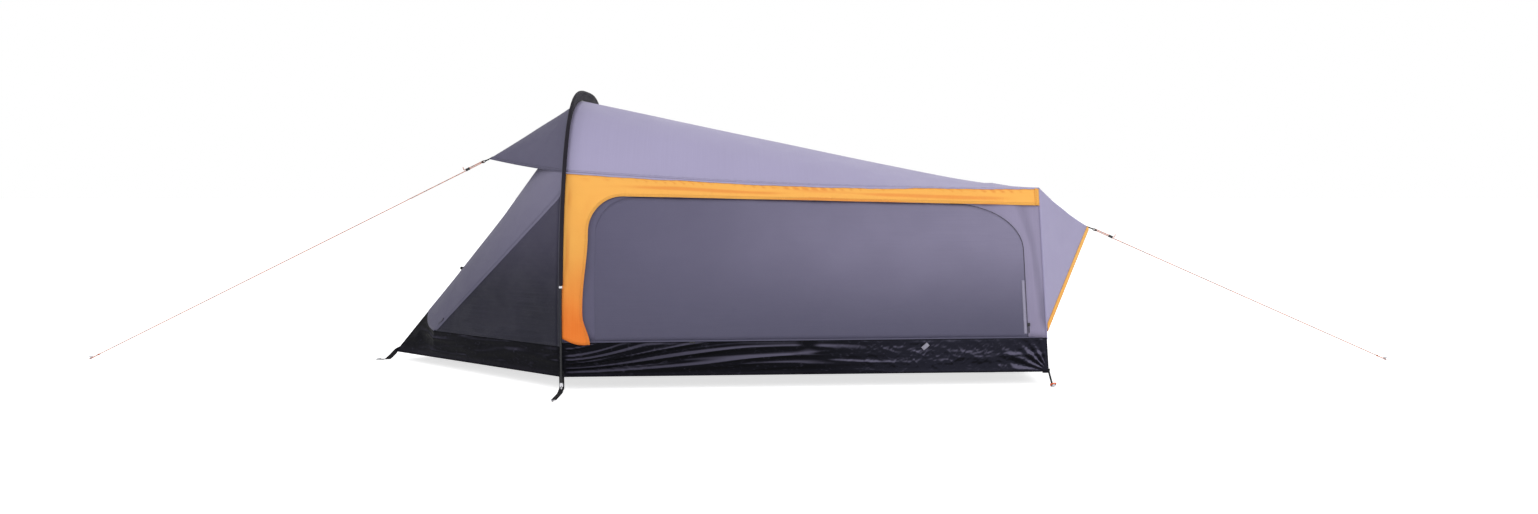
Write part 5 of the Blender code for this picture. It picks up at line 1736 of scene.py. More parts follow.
    def runner(self, end: End) -> None:
        """Make the runner, a waisted and rounded plate.

        Args:
            end: The tent's end.
        """
        _, _, anchor = self.sewn(end)
        heading, outward, _ = self.line(anchor, end)
        centre = anchor + heading * (self.runner_distance + self.runner_length / 2)
        mesh = bmesh.new()
        around, stations = self.runner_around, self.runner_stations
        rings = []
        for k in range(stations + 1):
            share = k / stations
            end_round = sqrt(max(0.0, 1 - (2 * share - 1) ** 8))
            size = (1.0 - self.runner_waist * arc(share)) * (0.86 + 0.14 * end_round)
            middle = centre + heading * ((share - 0.5) * self.runner_length)
            ring = []
            for n in range(around):
                angle = tau * n / around
                wide = copysign(abs(cos(angle)) ** 0.7, cos(angle)) * self.runner_half_width * size
                tall = copysign(abs(sin(angle)) ** 0.7, sin(angle)) * self.runner_half_height * size
                ring.append(mesh.verts.new(middle + Y_AXIS * wide + outward * tall))
            rings.append(ring)
        for before, after in zip(rings, rings[1:]):
            for n in range(around):
                m = (n + 1) % around
                mesh.faces.new((before[n], before[m], after[m], after[n]))
        mesh.faces.new(rings[0])
        mesh.faces.new(rings[-1])
        bmesh.ops.recalc_face_normals(mesh, faces=mesh.faces)
        piece = self.shop.shaped(f"runner_body_{end.value}", mesh, 40)
        self.shop.own(piece, self.palette.runner, f"runner_{end.value}_body", [f"runner_{end.value}"])

    def loop(self, end: End) -> None:
        """Make the webbing on the tip that the cord passes through, folded back on itself.

        Args:
            end: The tent's end.
        """
        before, tip, anchor = self.sewn(end)
        heading, outward, _ = self.line(anchor, end)
        cloth = "hood" if end is End.FRONT else "beak"
        reach = anchor + heading * self.beyond_cord
        beside = outward * (self.strand + 0.0016)
        path = [before, mix(before, tip, 0.6), tip, mix(tip, reach, 0.5) + outward * 0.0012]
        path += [anchor + beside - heading * 0.001, anchor + heading * (self.beyond_cord * 0.9)]
        path += [anchor - beside - heading * 0.001, mix(tip, reach, 0.45) - outward * 0.0012]
        path.append(tip - outward * 0.0022)
        self.shop.strap(
            f"{cloth}_loop_webbing", path, self.loop_half_width, Y_AXIS, replaced=[f"{cloth}_loop"],
            thickness=TAPE, rests_on=[cloth], fold=0.3,
        )

    def build(self) -> None:
        """Make both guylines."""
        for end in End:
            self.runner(end)
            self.cord(end)
            self.loop(end)


# Fly behind the arch


@dataclass
class Fly(SubAssembly):
    """Roof, storm flaps, side walls with their doors, and the zips round the doors."""

    column_width: float = 0.079
    column_flare: float = 0.029
    column_bow: float = 0.019
    column_corner: tuple[float, float] = (0.150, 0.135)
    column_foot: float = 0.010
    column_hem_rise: float = 0.026
    flap_counts: Counts = Counts(16, 20, 90)
    band_end: tuple[float, ...] = (0.7175, 0.735, 0.752, 0.770, 0.785)
    band_end_half_width: float = 0.0055
    door_front_x: float = 0.124
    door_rear_margin: float = 0.074
    door_front_corner: tuple[float, float] = (0.150, 0.140)
    door_rear_corner: tuple[float, float] = (0.290, 0.185)
    door_counts: Counts = Counts(12, 20, 50)
    door_gap: float = 0.0015
    lip_width: float = 0.012
    pucker_depth: float = 0.0026
    pucker_length: float = 0.045
    coil_radius: float = 0.0010
    zip_tape_inset: float = 0.009
    zip_tape_foot: float = 0.20
    zip_tape_top: float = 0.42
    zip_tape_half_width: float = 0.0065
    toggle_x: float = 0.50
    toggle_size: tuple[float, float, float] = (0.024, 0.003, 0.005)

    def roof_relief(self, u: float, v: float) -> float:
        """Puckers along the eave seams and soft tension folds.

        Args:
            u: Share of the way along.
            v: Share of the way across.

        Returns:
            The height.
        """
        across = 2 * u - 1
        place = self.shape.roof_point(v, across)
        seam = smooth((abs(across) - 0.93) / 0.07) * (1 - smooth((abs(across) - 0.988) / 0.012))
        pucker = self.pucker_depth * sin(tau * place.x / self.pucker_length + 3 * folds(place, 5.0))
        tension = 0.0016 * folds(Vector((place.x * 0.6, place.y * 3.0, place.z)), 4.0, 2.0)
        ends = arc(v, 0.5) * (1 - abs(across) ** 8)
        crease = -0.0030 * hump(across + 0.55 * v, -0.62, 0.10) * smooth(v / 0.05) * smooth((0.30 - v) / 0.25)
        return pucker * seam * arc(v, 0.3) + tension * ends + crease * ends

    def roof(self) -> None:
        """Make the roof, from the arch to the rear edge."""
        borders = (Border.START, Border.FINISH)
        patch = Patch(84, 110, lambda u, v: self.shape.roof_point(v, 2 * u - 1), self.roof_relief, borders)
        self.shop.cloth(
            "roof_cloth", [patch], self.palette.roof, "stretched", ["roof"], rests_on=["pole_sleeve"],
        )

    def wall_top(self, s: float) -> float:
        """Height at which the wall's cloth is folded into the roof's seam."""
        return self.shape.eave_height(s) - self.shape.cloth - self.shape.clearance

    def flap_outline(self) -> tuple[Outline, Outline]:
        """Go along the storm flap's free edge, from the column's foot to the rear corner.

        Returns:
            The inner free edge and the outer sewn edge.
        """
        shape, counts = self.shape, self.flap_counts
        legs, turns, tops = counts.legs, counts.turns, counts.tops
        bottom = shape.door_bottom - self.column_foot
        start = shape.along(self.column_width)
        corner = (shape.along(self.column_corner[0]), self.column_corner[1])
        low = shape.band_edge(start + corner[0]) - corner[1]
        inner = []
        for k in range(legs):
            height = mix(bottom, low, (k / legs) ** 1.3)
            flare = self.column_flare * (1 - smooth((height - bottom) / (4 * self.column_flare)))
            flare += self.column_bow * smooth((height - 0.33) / 0.27)
            inner.append((start + shape.along(flare), height))
        for k in range(turns):
            turn = pi / 2 * k / turns
            bow = shape.along(self.column_bow) * cos(turn)
            inner.append((start + bow + corner[0] * (1 - cos(turn)), low + corner[1] * sin(turn)))
        for k in range(tops + 1):
            s = mix(start + corner[0], 1.0, k / tops)
            inner.append((s, shape.band_edge(s)))
        half = turns // 2
        outer = [(0.0, mix(bottom + self.column_hem_rise, low, (k / legs) ** 1.3)) for k in range(legs)]
        outer += [(0.0, mix(low, self.wall_top(0.0), k / half)) for k in range(half)]
        along = [mix(0.0, start + corner[0], k / (turns - half)) for k in range(turns - half)]
        along += [inner[legs + turns + k][0] for k in range(tops + 1)]
        return inner, outer + [(s, self.wall_top(s)) for s in along]

    def flap(self, side: Side) -> None:
        """Make the orange column beside the pole and the band along the eave.

        Args:
            side: The tent's side.
        """
        inner, outer = self.flap_outline()
        last = len(inner) - 1

        def surface(u: float, v: float) -> Vector:
            """Point of the flap.

            Args:
                u: Share of the way along.
                v: Share of the way across.

            Returns:
                The point.
            """
            s, height = between(outer, inner, u, v)
            height -= 0.011 * arc(v) * smooth((0.24 - height) / 0.05)
            return self.shape.wall_point(s, height, side.value)

        def relief(u: float, v: float) -> float:
            """Waves that grow towards the free edge, a puckered seam and long folds in the band.

            Args:
                u: Share of the way along.
                v: Share of the way across.

            Returns:
                The height.
            """
            s, height = inner[round(u * last)]
            place = Vector((s * 1.9, height, side.value))
            wave = 0.0050 * folds(place, 4.2, 5.0) + 0.0022 * folds(place, 11.0, 6.0) + 0.0030
            seam = 0.0020 * sin(tau * s * 1.9 / 0.040 + 4 * folds(place, 4.0)) * hump(v, 0.12, 0.12)
            end = 1 - smooth((s - 0.90) / 0.08)
            foot = smooth((height - 0.19) / 0.05)
            band = smooth((height - 0.66) / 0.04) * arc(v, 0.7)
            long = 0.0045 * folds(Vector((2.6 * s, 1.6 * v, 3.0 * side.value)), 1.7, 4.0) * band
            over = 0.0055 * smooth((0.225 - height) / 0.030)
            return wave * v**1.5 * end * foot + seam * foot + long * end + over

        def tape(u: float, v: float) -> Vector:
            """Point of the eave's seam tape, with its uneven lower edge.

            Args:
                u: Share of the way along.
                v: Share of the way across.

            Returns:
                The point.
            """
            place = Vector((1.9 * u, 0.0, side.value))
            drop = 0.0060 + 0.0040 * folds(place, 9.0, 2.0) + 0.0014 * folds(place, 37.0, 5.0)
            height = self.shape.eave_height(u) + 0.001 - max(0.0015, drop) * v
            return self.shape.wall_point(u, height, side.value, -0.0008 - 0.0012 * v)

        label, flap = side.label, [f"storm_flap_{side.label}"]
        self.shop.cloth(
            f"storm_flap_cloth_{label}", [Patch(last, 12, surface, relief, (Border.UPPER,))],
            self.palette.orange, "stretched", flap, rests_on=[f"side_wall_{label}"],
        )
        self.shop.cloth(
            f"eave_seam_{label}", [Patch(300, 3, tape)], self.palette.roof, "stretched", (), rests_on=flap,
            thickness=THIN, offset=0.0,
        )
        end = [self.shape.wall_point(0.994, height, side.value, -0.0022) for height in self.band_end]
        self.shop.strap(
            f"band_end_{label}", end, self.band_end_half_width, X_AXIS, finish=self.palette.orange,
            rests_on=flap, thickness=THIN,
        )

    def doorway(self, gap: float, counts: Counts | None = None) -> Doorway:
        """Set out the side door.

        Args:
            gap: How much smaller it is than the opening, all round.
            counts: Steps along the outline, if not the door's own.

        Returns:
            The doorway.
        """
        shape = self.shape
        return Doorway(
            shape.along(self.door_front_x + gap), 1.0 - shape.along(self.door_rear_margin + gap),
            shape.door_bottom,
            (shape.along(self.door_front_corner[0]), self.door_front_corner[1]),
            (shape.along(self.door_rear_corner[0]), self.door_rear_corner[1]),
            lambda s: shape.band_edge(s) - shape.seam - gap, counts or self.door_counts,
        )

    def wall(self, side: Side) -> None:
        """Make the wall round the side door, with the soft fold down its rear margin, and its sill.

        Args:
            side: The tent's side.
        """
        shape, door = self.shape, self.doorway(0.0)
        inner, under = door.outline(), self.doorway(self.lip_width).outline()
        outer = door.frame(shape.door_bottom, shape.skirt_top + shape.seam, self.wall_top)
        last = len(inner) - 1
        inset = shape.wall_inset

        def surface(u: float, v: float) -> Vector:
            """Point of the wall, which comes out to the rear corner's seam."""
            s, height = between(outer, inner, u, v)
            return shape.wall_point(s, height, side.value, mix(inset, 0.0024, smooth((s - 0.968) / 0.030)))

        def relief(u: float, v: float) -> float:
            """Height of the upright folds in the rear margin.

            Args:
                u: Share of the way along.
                v: Share of the way across.

            Returns:
                The height.
            """
            point = surface(u, v)
            held = arc(v, 0.5) * (1 - smooth((v - 0.66) / 0.22))
            rear = smooth((point.x - 1.55) / 0.2) * smooth((point.z - 0.2) / 0.08)
            fold = 0.0055 * sin(26.0 * (point.x + 0.30 * point.z) + 0.6)
            return held * rear * (fold + 0.002 * folds(point, 8.0, 3.0))

        def sill(u: float, v: float) -> Vector:
            """Point of the strip below the door."""
            height = mix(shape.skirt_top - 0.003, shape.door_bottom + 0.004, v)
            return shape.wall_point(mix(0.004, 0.996, u), height, side.value, mix(0.0014, inset + 0.0010, v))

        def lip(u: float, v: float) -> Vector:
            """Point of the lip that reaches under the door."""
            s, height = between(inner, under, u, v)
            return shape.wall_point(s, height, side.value, inset + 0.0030 * min(1.0, 3 * v))

        self.shop.cloth(
            f"side_wall_cloth_{side.label}", [Patch(last, 8, surface, relief), Patch(last, 3, lip)],
            self.palette.margin, "stretched", [f"side_wall_{side.label}"],
            rests_on=["arch_pole_section_2", f"corner_strut_{side.label}"],
        )
        self.shop.cloth(
            f"side_sill_cloth_{side.label}", [Patch(60, 2, sill)], self.palette.door, "stretched", (),
            rests_on=[f"side_skirt_{side.label}"],
        )

    def door(self, side: Side) -> None:
        """Make the side door, with a slight belly and folds at its lower edge.

        Args:
            side: The tent's side.
        """
        door = self.doorway(self.door_gap)
        top = door.arch(door.outline())
        last = len(top) - 1
        bottom = self.shape.door_bottom + self.shape.clearance

        def surface(u: float, v: float) -> Vector:
            """Point of the door."""
            s, height = top[round(u * last)]
            return self.shape.wall_point(s, mix(bottom, height, v), side.value, self.shape.wall_inset)

        def relief(u: float, v: float) -> float:
            """Height of the door's long, fine and gathered folds.

            Args:
                u: Share of the way along.
                v: Share of the way across.

            Returns:
                The height.
            """
            point = surface(u, v)
            held = arc(u, 0.4) * arc(min(v, 0.999), 0.6)
            long = 0.0022 * folds(Vector((point.x * 0.7, point.z * 1.6, side.value)), 3.0, 9.0)
            fine = 0.0008 * folds(Vector((point.x, point.z * 2.0, side.value)), 9.0, 4.0)
            gather = 0.0012 * sin(tau * point.x / 0.09) * smooth((0.12 - v) / 0.12)
            return (held * (long + fine) + gather * arc(v, 0.5)) * smooth((1 - v) / 0.12)

        self.shop.cloth(
            f"side_door_cloth_{side.label}", [Patch(last, 30, surface, relief)], self.palette.door,
            "stretched", [f"side_door_{side.label}"], body=f"side_door_{side.label}_body",
            rests_on=[f"side_wall_{side.label}"],
        )

    def zip(self, side: Side) -> None:
        """Make the dark coil round the door's rear corner and the pale tape up its rear edge.

        Args:
            side: The tent's side.
        """
        shape, label = self.shape, side.label
        counts = self.door_counts
        edge = self.doorway(0.0).outline()[counts.legs + counts.turns + counts.tops :]
        line = [shape.wall_point(s, z, side.value, shape.wall_inset - 0.0006) for s, z in edge]
        self.shop.rope(f"door_zip_coil_{label}", line, self.coil_radius, self.palette.coil)
        fine = Counts(2 * counts.legs, counts.turns, counts.tops)
        leg = self.doorway(self.zip_tape_inset, fine).outline()[-fine.legs - 1 :]
        leg = [(s, z) for s, z in leg if self.zip_tape_foot < z < self.zip_tape_top]
        path = [shape.wall_point(s, z, side.value, shape.wall_inset - 0.0012) for s, z in leg]
        self.shop.strap(
            f"door_zip_tape_{label}", path, self.zip_tape_half_width,
            path[-1] - shape.wall_point(0.5, leg[-1][1], side.value), body=f"side_door_{label}_body",
            thickness=THIN, finish=self.palette.zip, rests_on=[f"side_door_{label}"],
        )

    def toggle(self, side: Side) -> None:
        """Make the small toggle and its loops, sewn on the skirt just below the door's hinge.

        Args:
            side: The tent's side.
        """
        runner, out = self.palette.runner, side.value * 0.0018
        height = self.shape.skirt_top - 0.0008
        place = self.shape.wall_point(self.shape.along(self.toggle_x), height, side.value, -0.0022)
        axes = (X_AXIS, Y_AXIS, Z_AXIS)
        self.shop.block(f"toggle_bar_{side.label}", place, axes, self.toggle_size, 0.0012, runner)
        for k, x in enumerate((-0.005, 0.006)):
            route = ((x, 0.0, 0.003), (x, out, 0.0022), (x, out, -0.003), (x, 0.0, -0.006))
            path = curve_through([place + Vector(step) for step in route], 0.002)
            self.shop.rope(f"toggle_loop_{side.label}_{k}", path, 0.0007, runner)

    def build(self) -> None:
        """Make the fly behind the arch."""
        self.roof()
        for side in Side:
            self.flap(side)
            self.wall(side)
            self.door(side)
            self.zip(side)
            self.toggle(side)
            self.shop.dress(f"zip_slider_side_{side.label}", self.palette.runner)


# Skirts


@dataclass
class Skirts(SubAssembly):
    """The black skirts along the sides, the rear and round the porch."""

    fold_depth: float = 0.0095
    side_length: float = 1.92
    side_height: float = 0.131
    hem_radius: float = 0.0028
    seam_radius: float = 0.0014
    tuck: tuple[float, float, float] = (0.002, -0.004, 0.010)
    tag_x: float = 1.409
    tag_height: float = 0.162
    tag_size: tuple[float, float] = (0.030, 0.017)
    tag_lean: float = 42.0

    def side_relief(self, s: float, rise: float, side: Side) -> float:
        """Height of the folds in a side skirt.

        Args:
            s: Share of the way from the arch to the rear corner.
            rise: Share of the way up.
            side: The tent's side.

        Returns:
            Long folds that fan out of the arch's foot, crumples behind and rays at the rear corner.
        """
        x, height = self.side_length * s, self.side_height * rise
        seed = 0.7 * side.value
        fan = rise / (0.30 + 0.70 * smooth(x / 0.75)) + 0.10 * folds(Vector((x, 0.0, seed)), 1.6)
        long = creases(Vector((0.7 * x, 2.3 * fan, seed)), 1.0, 3.0) ** 1.5 - 0.35
        long += 0.40 * creases(Vector((1.6 * x, 5.6 * fan, seed)), 1.0, 5.0) ** 1.5
        place = Vector((x + 0.5 * height, height, seed))
        crumple = creases(place, 9.0, 8.0) ** 1.5 + 0.6 * creases(place, 21.0, 2.0) ** 1.5
        crumple += 0.35 * creases(Vector((x - height, height, seed)), 43.0, 4.0) ** 1.5
        left = self.side_length - x
        reach, angle = hypot(left, height), atan2(height, max(1e-4, left))
        rays = sin(19.0 * angle + 2.0 * folds(place, 3.0))
        rays *= smooth(reach / 0.05) * smooth((0.26 - reach) / 0.18)
        rear = smooth((x - 1.00) / 0.35)
        held = arc(rise, 0.45) * smooth(s / 0.02) * smooth((1 - s) / 0.015)
        held *= smooth((1 - rise) / 0.06) * (1 - hump(s, 0.50, 0.03) * smooth((rise - 0.55) / 0.3))
        depth = self.fold_depth
        long, crumple = depth * long * (1 - 0.65 * rear), 0.42 * depth * (crumple - 0.8) * rear
        return held * (0.0015 + long + crumple + 0.0046 * rays)

    def side(self, side: Side) -> None:
        """Make the skirt below one wall, with its hem and its seam.

        Args:
            side: The tent's side.
        """
        shape = self.shape

        def surface(u: float, v: float) -> Vector:
            """Point of the skirt."""
            return shape.wall_point(u, mix(shape.hem, shape.skirt_top, v), side.value)

        self.shop.cloth(
            f"side_skirt_cloth_{side.label}",
            [Patch(480, 34, surface, lambda u, v: self.side_relief(u, v, side))], self.palette.skirt, "hung",
            [f"side_skirt_{side.label}"], rests_on=[f"side_wall_{side.label}"],
        )
        for name, height, inset, radius in (
            ("side_hem", shape.hem + 0.002, -0.0005, self.hem_radius),
            ("side_seam", shape.skirt_top + 0.0006, 0.0012, self.seam_radius),
        ):
            line = [shape.wall_point(k / 60, height, side.value, inset) for k in range(61)]
            self.shop.rope(f"{name}_{side.label}", line, radius, self.palette.skirt)

    def rear(self) -> None:
        """Make the rear skirt and the mesh wall above it."""
        shape = self.shape
        edge = shape.cloth + shape.clearance
        wall_edge = shape.wall_inset + edge
        top = shape.rear_top + min(0.0, shape.rear_crown) - 2 * edge

        def point(u: float, height: float, inset: float) -> Vector:
            """Point between the rear corners."""
            across = (2 * u - 1) * (shape.rear_half(height) - inset)
            return Vector((shape.rear_x(height) - edge, across, height))

        def relief(u: float, v: float) -> float:
            """Height of the skirt's creases."""
            crease = creases(Vector((u * 1.1, v * 0.3, 4.0)), 7.0, 5.0) - 0.4
            return arc(v, 0.5) * arc(u, 0.4) * 0.0045 * crease

        def slack(u: float, v: float) -> float:
            """How far the mesh hangs in."""
            return (-0.010 + 0.002 * folds(Vector((u, v * 0.6, 7.0)), 6.0)) * arc(u) * arc(v)

        self.shop.cloth(
            "rear_skirt_cloth",
            [Patch(120, 16, lambda u, v: point(u, mix(shape.hem, shape.skirt_top, v), edge), relief)],
            self.palette.skirt, "hung", ["rear_skirt"], rests_on=["rear_wall"],
        )
        net = Patch(
            48, 32, lambda u, v: point(u, mix(shape.skirt_top + shape.seam, top, v), wall_edge), slack,
            (Border.START, Border.FINISH, Border.UPPER, Border.LOWER),
        )
        self.shop.cloth(
            "rear_wall_net", [net], self.palette.net, "stretched", ["rear_wall"],
            rests_on=["corner_strut_near", "corner_strut_far"], thickness=THIN,
        )

    def front(self) -> None:
        """Make the skirt round the porch."""
        shape = self.shape
        _, foot, corner = shape.zip_points()
        corner.z -= shape.porch_dip
        hem = Vector((shape.porch_seam, -shape.fly_half(shape.hem, shape.porch_inset), shape.hem))
        tip = Vector((shape.front_tip_x, 0.0, shape.front_tip_z))
        panel_foot = Vector((shape.panel_foot_x, 0.0, shape.panel_foot_z))
        drop = Z_AXIS * -(shape.cloth + shape.clearance)

        def surface(u: float, v: float) -> Vector:
            """Point of the skirt, from the near arch foot round the nose to the far one.

            Args:
                u: Share of the way along.
                v: Share of the way across.

            Returns:
                The point.
            """
            along = 1 - abs(2 * u - 1)
            if along < 0.75:
                upper = mix(corner, foot, along / 0.75) + drop * smooth(along / 0.1)
            else:
                upper = mix(foot, panel_foot, (along - 0.75) / 0.25) + drop
            return turned_to(mix(mix(hem, tip, along), upper, v), sign_of(u))

        def relief(u: float, v: float) -> float:
            """Height of the slanting folds.

            Args:
                u: Share of the way along.
                v: Share of the way across.

            Returns:
                The height.
            """
            along = 1 - abs(2 * u - 1)
            place = Vector((along * 1.1, v * 0.35, 2.0 if u < 0.5 else 9.0))
            slant = Vector((along * 1.6 - v * 0.7, v * 1.6 + along * 1.0, place.z))
            held = arc(v, 0.5) * smooth(along / 0.03) * (1 - hump(u, 0.5, 0.02))
            long = 0.0060 * (creases(slant, 2.2, 4.0) - 0.4)
            return held * (0.0010 + long + 0.0007 * creases(place, 14.0, 3.0))

        def tuck(u: float, v: float) -> Vector:
            """Point of the strip that is tucked in behind the panels.

            Args:
                u: Share of the way along.
                v: Share of the way across.

            Returns:
                The point.
            """
            edge = surface(u, 1.0)
            x, y, z = self.tuck
            inwards = Vector((x, y * copysign(1.0, edge.y), z))
            return edge + inwards * v * smooth((abs(2 * u - 1) - 0.06) / 0.12)

        self.shop.cloth(
            "front_skirt_cloth", [Patch(280, 22, surface, relief), Patch(280, 1, tuck)],
            self.palette.skirt, "hung", ["front_skirt"], rests_on=["front_panel"], inside=(-0.3, 0.0, 0.1),
        )
        for side in Side:
            low = [turned_to(mix(hem, tip, k / 24), side.value) + Z_AXIS * 0.0015 for k in range(25)]
            self.shop.rope(f"front_hem_{side.label}", low, self.hem_radius, self.palette.skirt)

    def tag(self) -> None:
        """Make a blank grey tab sewn on the near skirt."""
        s = self.shape.along(self.tag_x)
        middle = self.shape.wall_point(s, self.tag_height, Side.NEAR.value, -0.0085)
        width, tall = self.tag_size
        lean = radians(self.tag_lean)

        def surface(u: float, v: float) -> Vector:
            """Point of the tab.

            Args:
                u: Share of the way along.
                v: Share of the way across.

            Returns:
                The point.
            """
            a, b = (u - 0.5) * width, (v - 0.5) * tall
            x, z = a * cos(lean) - b * sin(lean), a * sin(lean) + b * cos(lean)
            return middle + Vector((x, -0.002 * arc(u), z))

        self.shop.cloth(
            "skirt_tab", [Patch(10, 6, surface, hems=(Border.UPPER,))], self.palette.tag, "hung", (),
            rests_on=["side_skirt_near"], thickness=0.0005,
        )

    def build(self) -> None:
        """Make every skirt."""
        for side in Side:
            self.side(side)
        self.rear()
        self.front()
        self.tag()


# Porch


@dataclass
class Porch(SubAssembly):
    """The middle panel, the dark doors, the hood and the porch zips."""

    flap_width: float = 0.012
    inside: tuple[float, float, float] = (-0.2, 0.0, 0.2)
    toggle_place: tuple[float, float] = (0.05, 0.785)
    toggle_size: tuple[float, float, float] = (0.014, 0.006, 0.022)

    def beside_arch(self, height: float) -> Vector:
        """Point of the porch's rear edge on the near side."""
        shape = self.shape
        return Vector((shape.porch_seam, -shape.fly_half(height, shape.porch_inset), height))

    def panel(self) -> None:
        """Make the middle panel, and the dark strips beside the arch."""
        shape = self.shape
        top, foot, _ = shape.zip_points()
        strip = shape.strip_width / (top.x - foot.x)

        def surface(u: float, v: float) -> Vector:
            """Point of the panel."""
            return turned_to(shape.panel_point(abs(2 * u - 1), v), sign_of(u))

        def relief(u: float, v: float) -> float:
            """Height of the panel's soft folds.

            Args:
                u: Share of the way along.
                v: Share of the way across.

            Returns:
                The height.
            """
            place = surface(u, v)
            held = arc(v, 0.5) * (1 - abs(2 * u - 1) ** 6)
            return held * 0.0030 * folds(Vector((place.x, place.y * 2.2, 0.4 * place.z)), 5.0, 1.0)

        self.shop.cloth(
            "porch_panel_cloth", [Patch(72, 60, surface, relief)], self.palette.panel, "stretched",
            ["front_panel"], rests_on=["pole_sleeve"], inside=self.inside,
        )
        for side in Side:

            def beside(u: float, v: float, side: Side = side) -> Vector:
                """Point of the strip beside the arch."""
                height = mix(shape.skirt_top + shape.seam - shape.porch_dip, shape.zip_top, v)
                return turned_to(mix(self.beside_arch(height), foot, u * strip), side.value)

            self.shop.cloth(
                f"porch_seam_strip_{side.label}", [Patch(2, 60, beside)], self.palette.dark, "stretched", (),
                rests_on=["pole_sleeve"], inside=self.inside,
            )

    def door(self, side: Side) -> None:
        """Make a dark porch door.

        Args:
            side: The tent's side.
        """
        shape = self.shape
        top, foot, corner = shape.zip_points()
        up, along = (top - foot).normalized(), (corner - foot).normalized()
        tip = foot + (up + along).normalized() * (shape.seam / sin(up.angle(along) / 2))
        start_share = shape.strip_width / (top.x - foot.x) + shape.seam / (top - foot).length
        rise = shape.seam / cos(up.angle(along))

        def surface(u: float, v: float) -> Vector:
            """Point of the door, which narrows from the arch to the zip's foot."""
            height = mix(shape.skirt_top + 2 * shape.seam - shape.porch_dip, shape.zip_top - rise, v)
            return turned_to(mix(self.beside_arch(height), tip, mix(start_share, 0.985, u)), side.value)

        def relief(u: float, v: float) -> float:
            """Height of the door's soft folds.

            Args:
                u: Share of the way along.
                v: Share of the way across.

            Returns:
                The height.
            """
            place = surface(u, v)
            place = Vector((place.x * 1.5, place.z, 0.3))
            return arc(v, 0.6) * arc(u, 0.6) * (0.0040 * folds(place, 3.5, 2.0) - 0.002)

        self.shop.cloth(
            f"porch_door_cloth_{side.label}", [Patch(48, 48, surface, relief, (Border.UPPER,))],
            self.palette.dark, "stretched", [f"front_door_{side.label}"], body=f"front_door_{side.label}_body",
            rests_on=["front_panel"], inside=self.inside,
        )

    def zip_flap(self, side: Side) -> None:
        """Make the narrow grey flap of the panel that covers the zip.

        Args:
            side: The tent's side.
        """
        top, foot, corner = self.shape.zip_points()
        outward = (top - foot).cross(corner - foot).normalized()
        outward = -outward if outward.y > 0 else outward
        down = (top - foot).normalized().cross(outward).normalized()
        down = -down if down.z > 0 else down

        def surface(u: float, v: float) -> Vector:
            """Point of the flap.

            Args:
                u: Share of the way along.
                v: Share of the way across.

            Returns:
                The point.
            """
            place = mix(foot, top, mix(0.004, 0.985, u))
            width = self.flap_width * smooth(u / 0.03) ** 0.5 * smooth((1 - u) / 0.03) ** 0.5
            off = mix(0.0011, 0.0021, v) + 0.0008 * folds(place, 14.0, 7.0) * v
            return turned_to(place + down * (width * v) + outward * off, side.value)

        self.shop.cloth(
            f"porch_zip_flap_{side.label}", [Patch(110, 5, surface)], self.palette.panel, "stretched", (),
            rests_on=["front_panel"], inside=self.inside, thickness=THIN,
        )

    def hood(self) -> None:
        """Make the dark hood over the porch, with a soft ridge and hemmed edges."""

        def surface(u: float, v: float) -> Vector:
            """Point of the hood."""
            return self.shape.hood_point(2 * u - 1, 0.99 * v)

        def relief(u: float, v: float) -> float:
            """Height of the hood's folds, with the pull towards its tip.

            Args:
                u: Share of the way along.
                v: Share of the way across.

            Returns:
                The height.
            """
            middle = 1 - abs(2 * u - 1) ** 8
            pull = 0.0022 * sin(26.0 * (2 * u - 1)) * smooth((v - 0.6) / 0.4) * (1 - v)
            return arc(v, 0.5) * middle * (0.0020 * folds(surface(u, v), 6.0, 3.0)) + pull * middle

        self.shop.cloth(
            "hood_cloth", [Patch(70, 56, surface, relief, (Border.START, Border.FINISH))], self.palette.hood,
            "stretched", ["hood"], rests_on=["pole_sleeve", "guyline_front"], inside=(-0.1, 0.0, 0.5),
        )

    def toggle(self) -> None:
        """Make the small toggle on the far side of the middle panel."""
        at = turned_to(self.shape.panel_point(*self.toggle_place), Side.FAR.value)
        out = Vector((-0.74, 0.20, 0.63)).normalized()
        along = Vector((0.643, 0.0, 0.766)).normalized()
        axes = (out, along, out.cross(along).normalized())
        place = at + out * 0.0070
        self.shop.block("porch_toggle", place, axes, self.toggle_size, 0.0026, self.palette.runner)

    def build(self) -> None:
        """Make the porch."""
        self.panel()
        for side in Side:
            self.door(side)
            self.zip_flap(side)
            self.shop.dress(f"zip_slider_front_{side.label}", self.palette.slider)
        self.hood()
        self.toggle()


# Beak


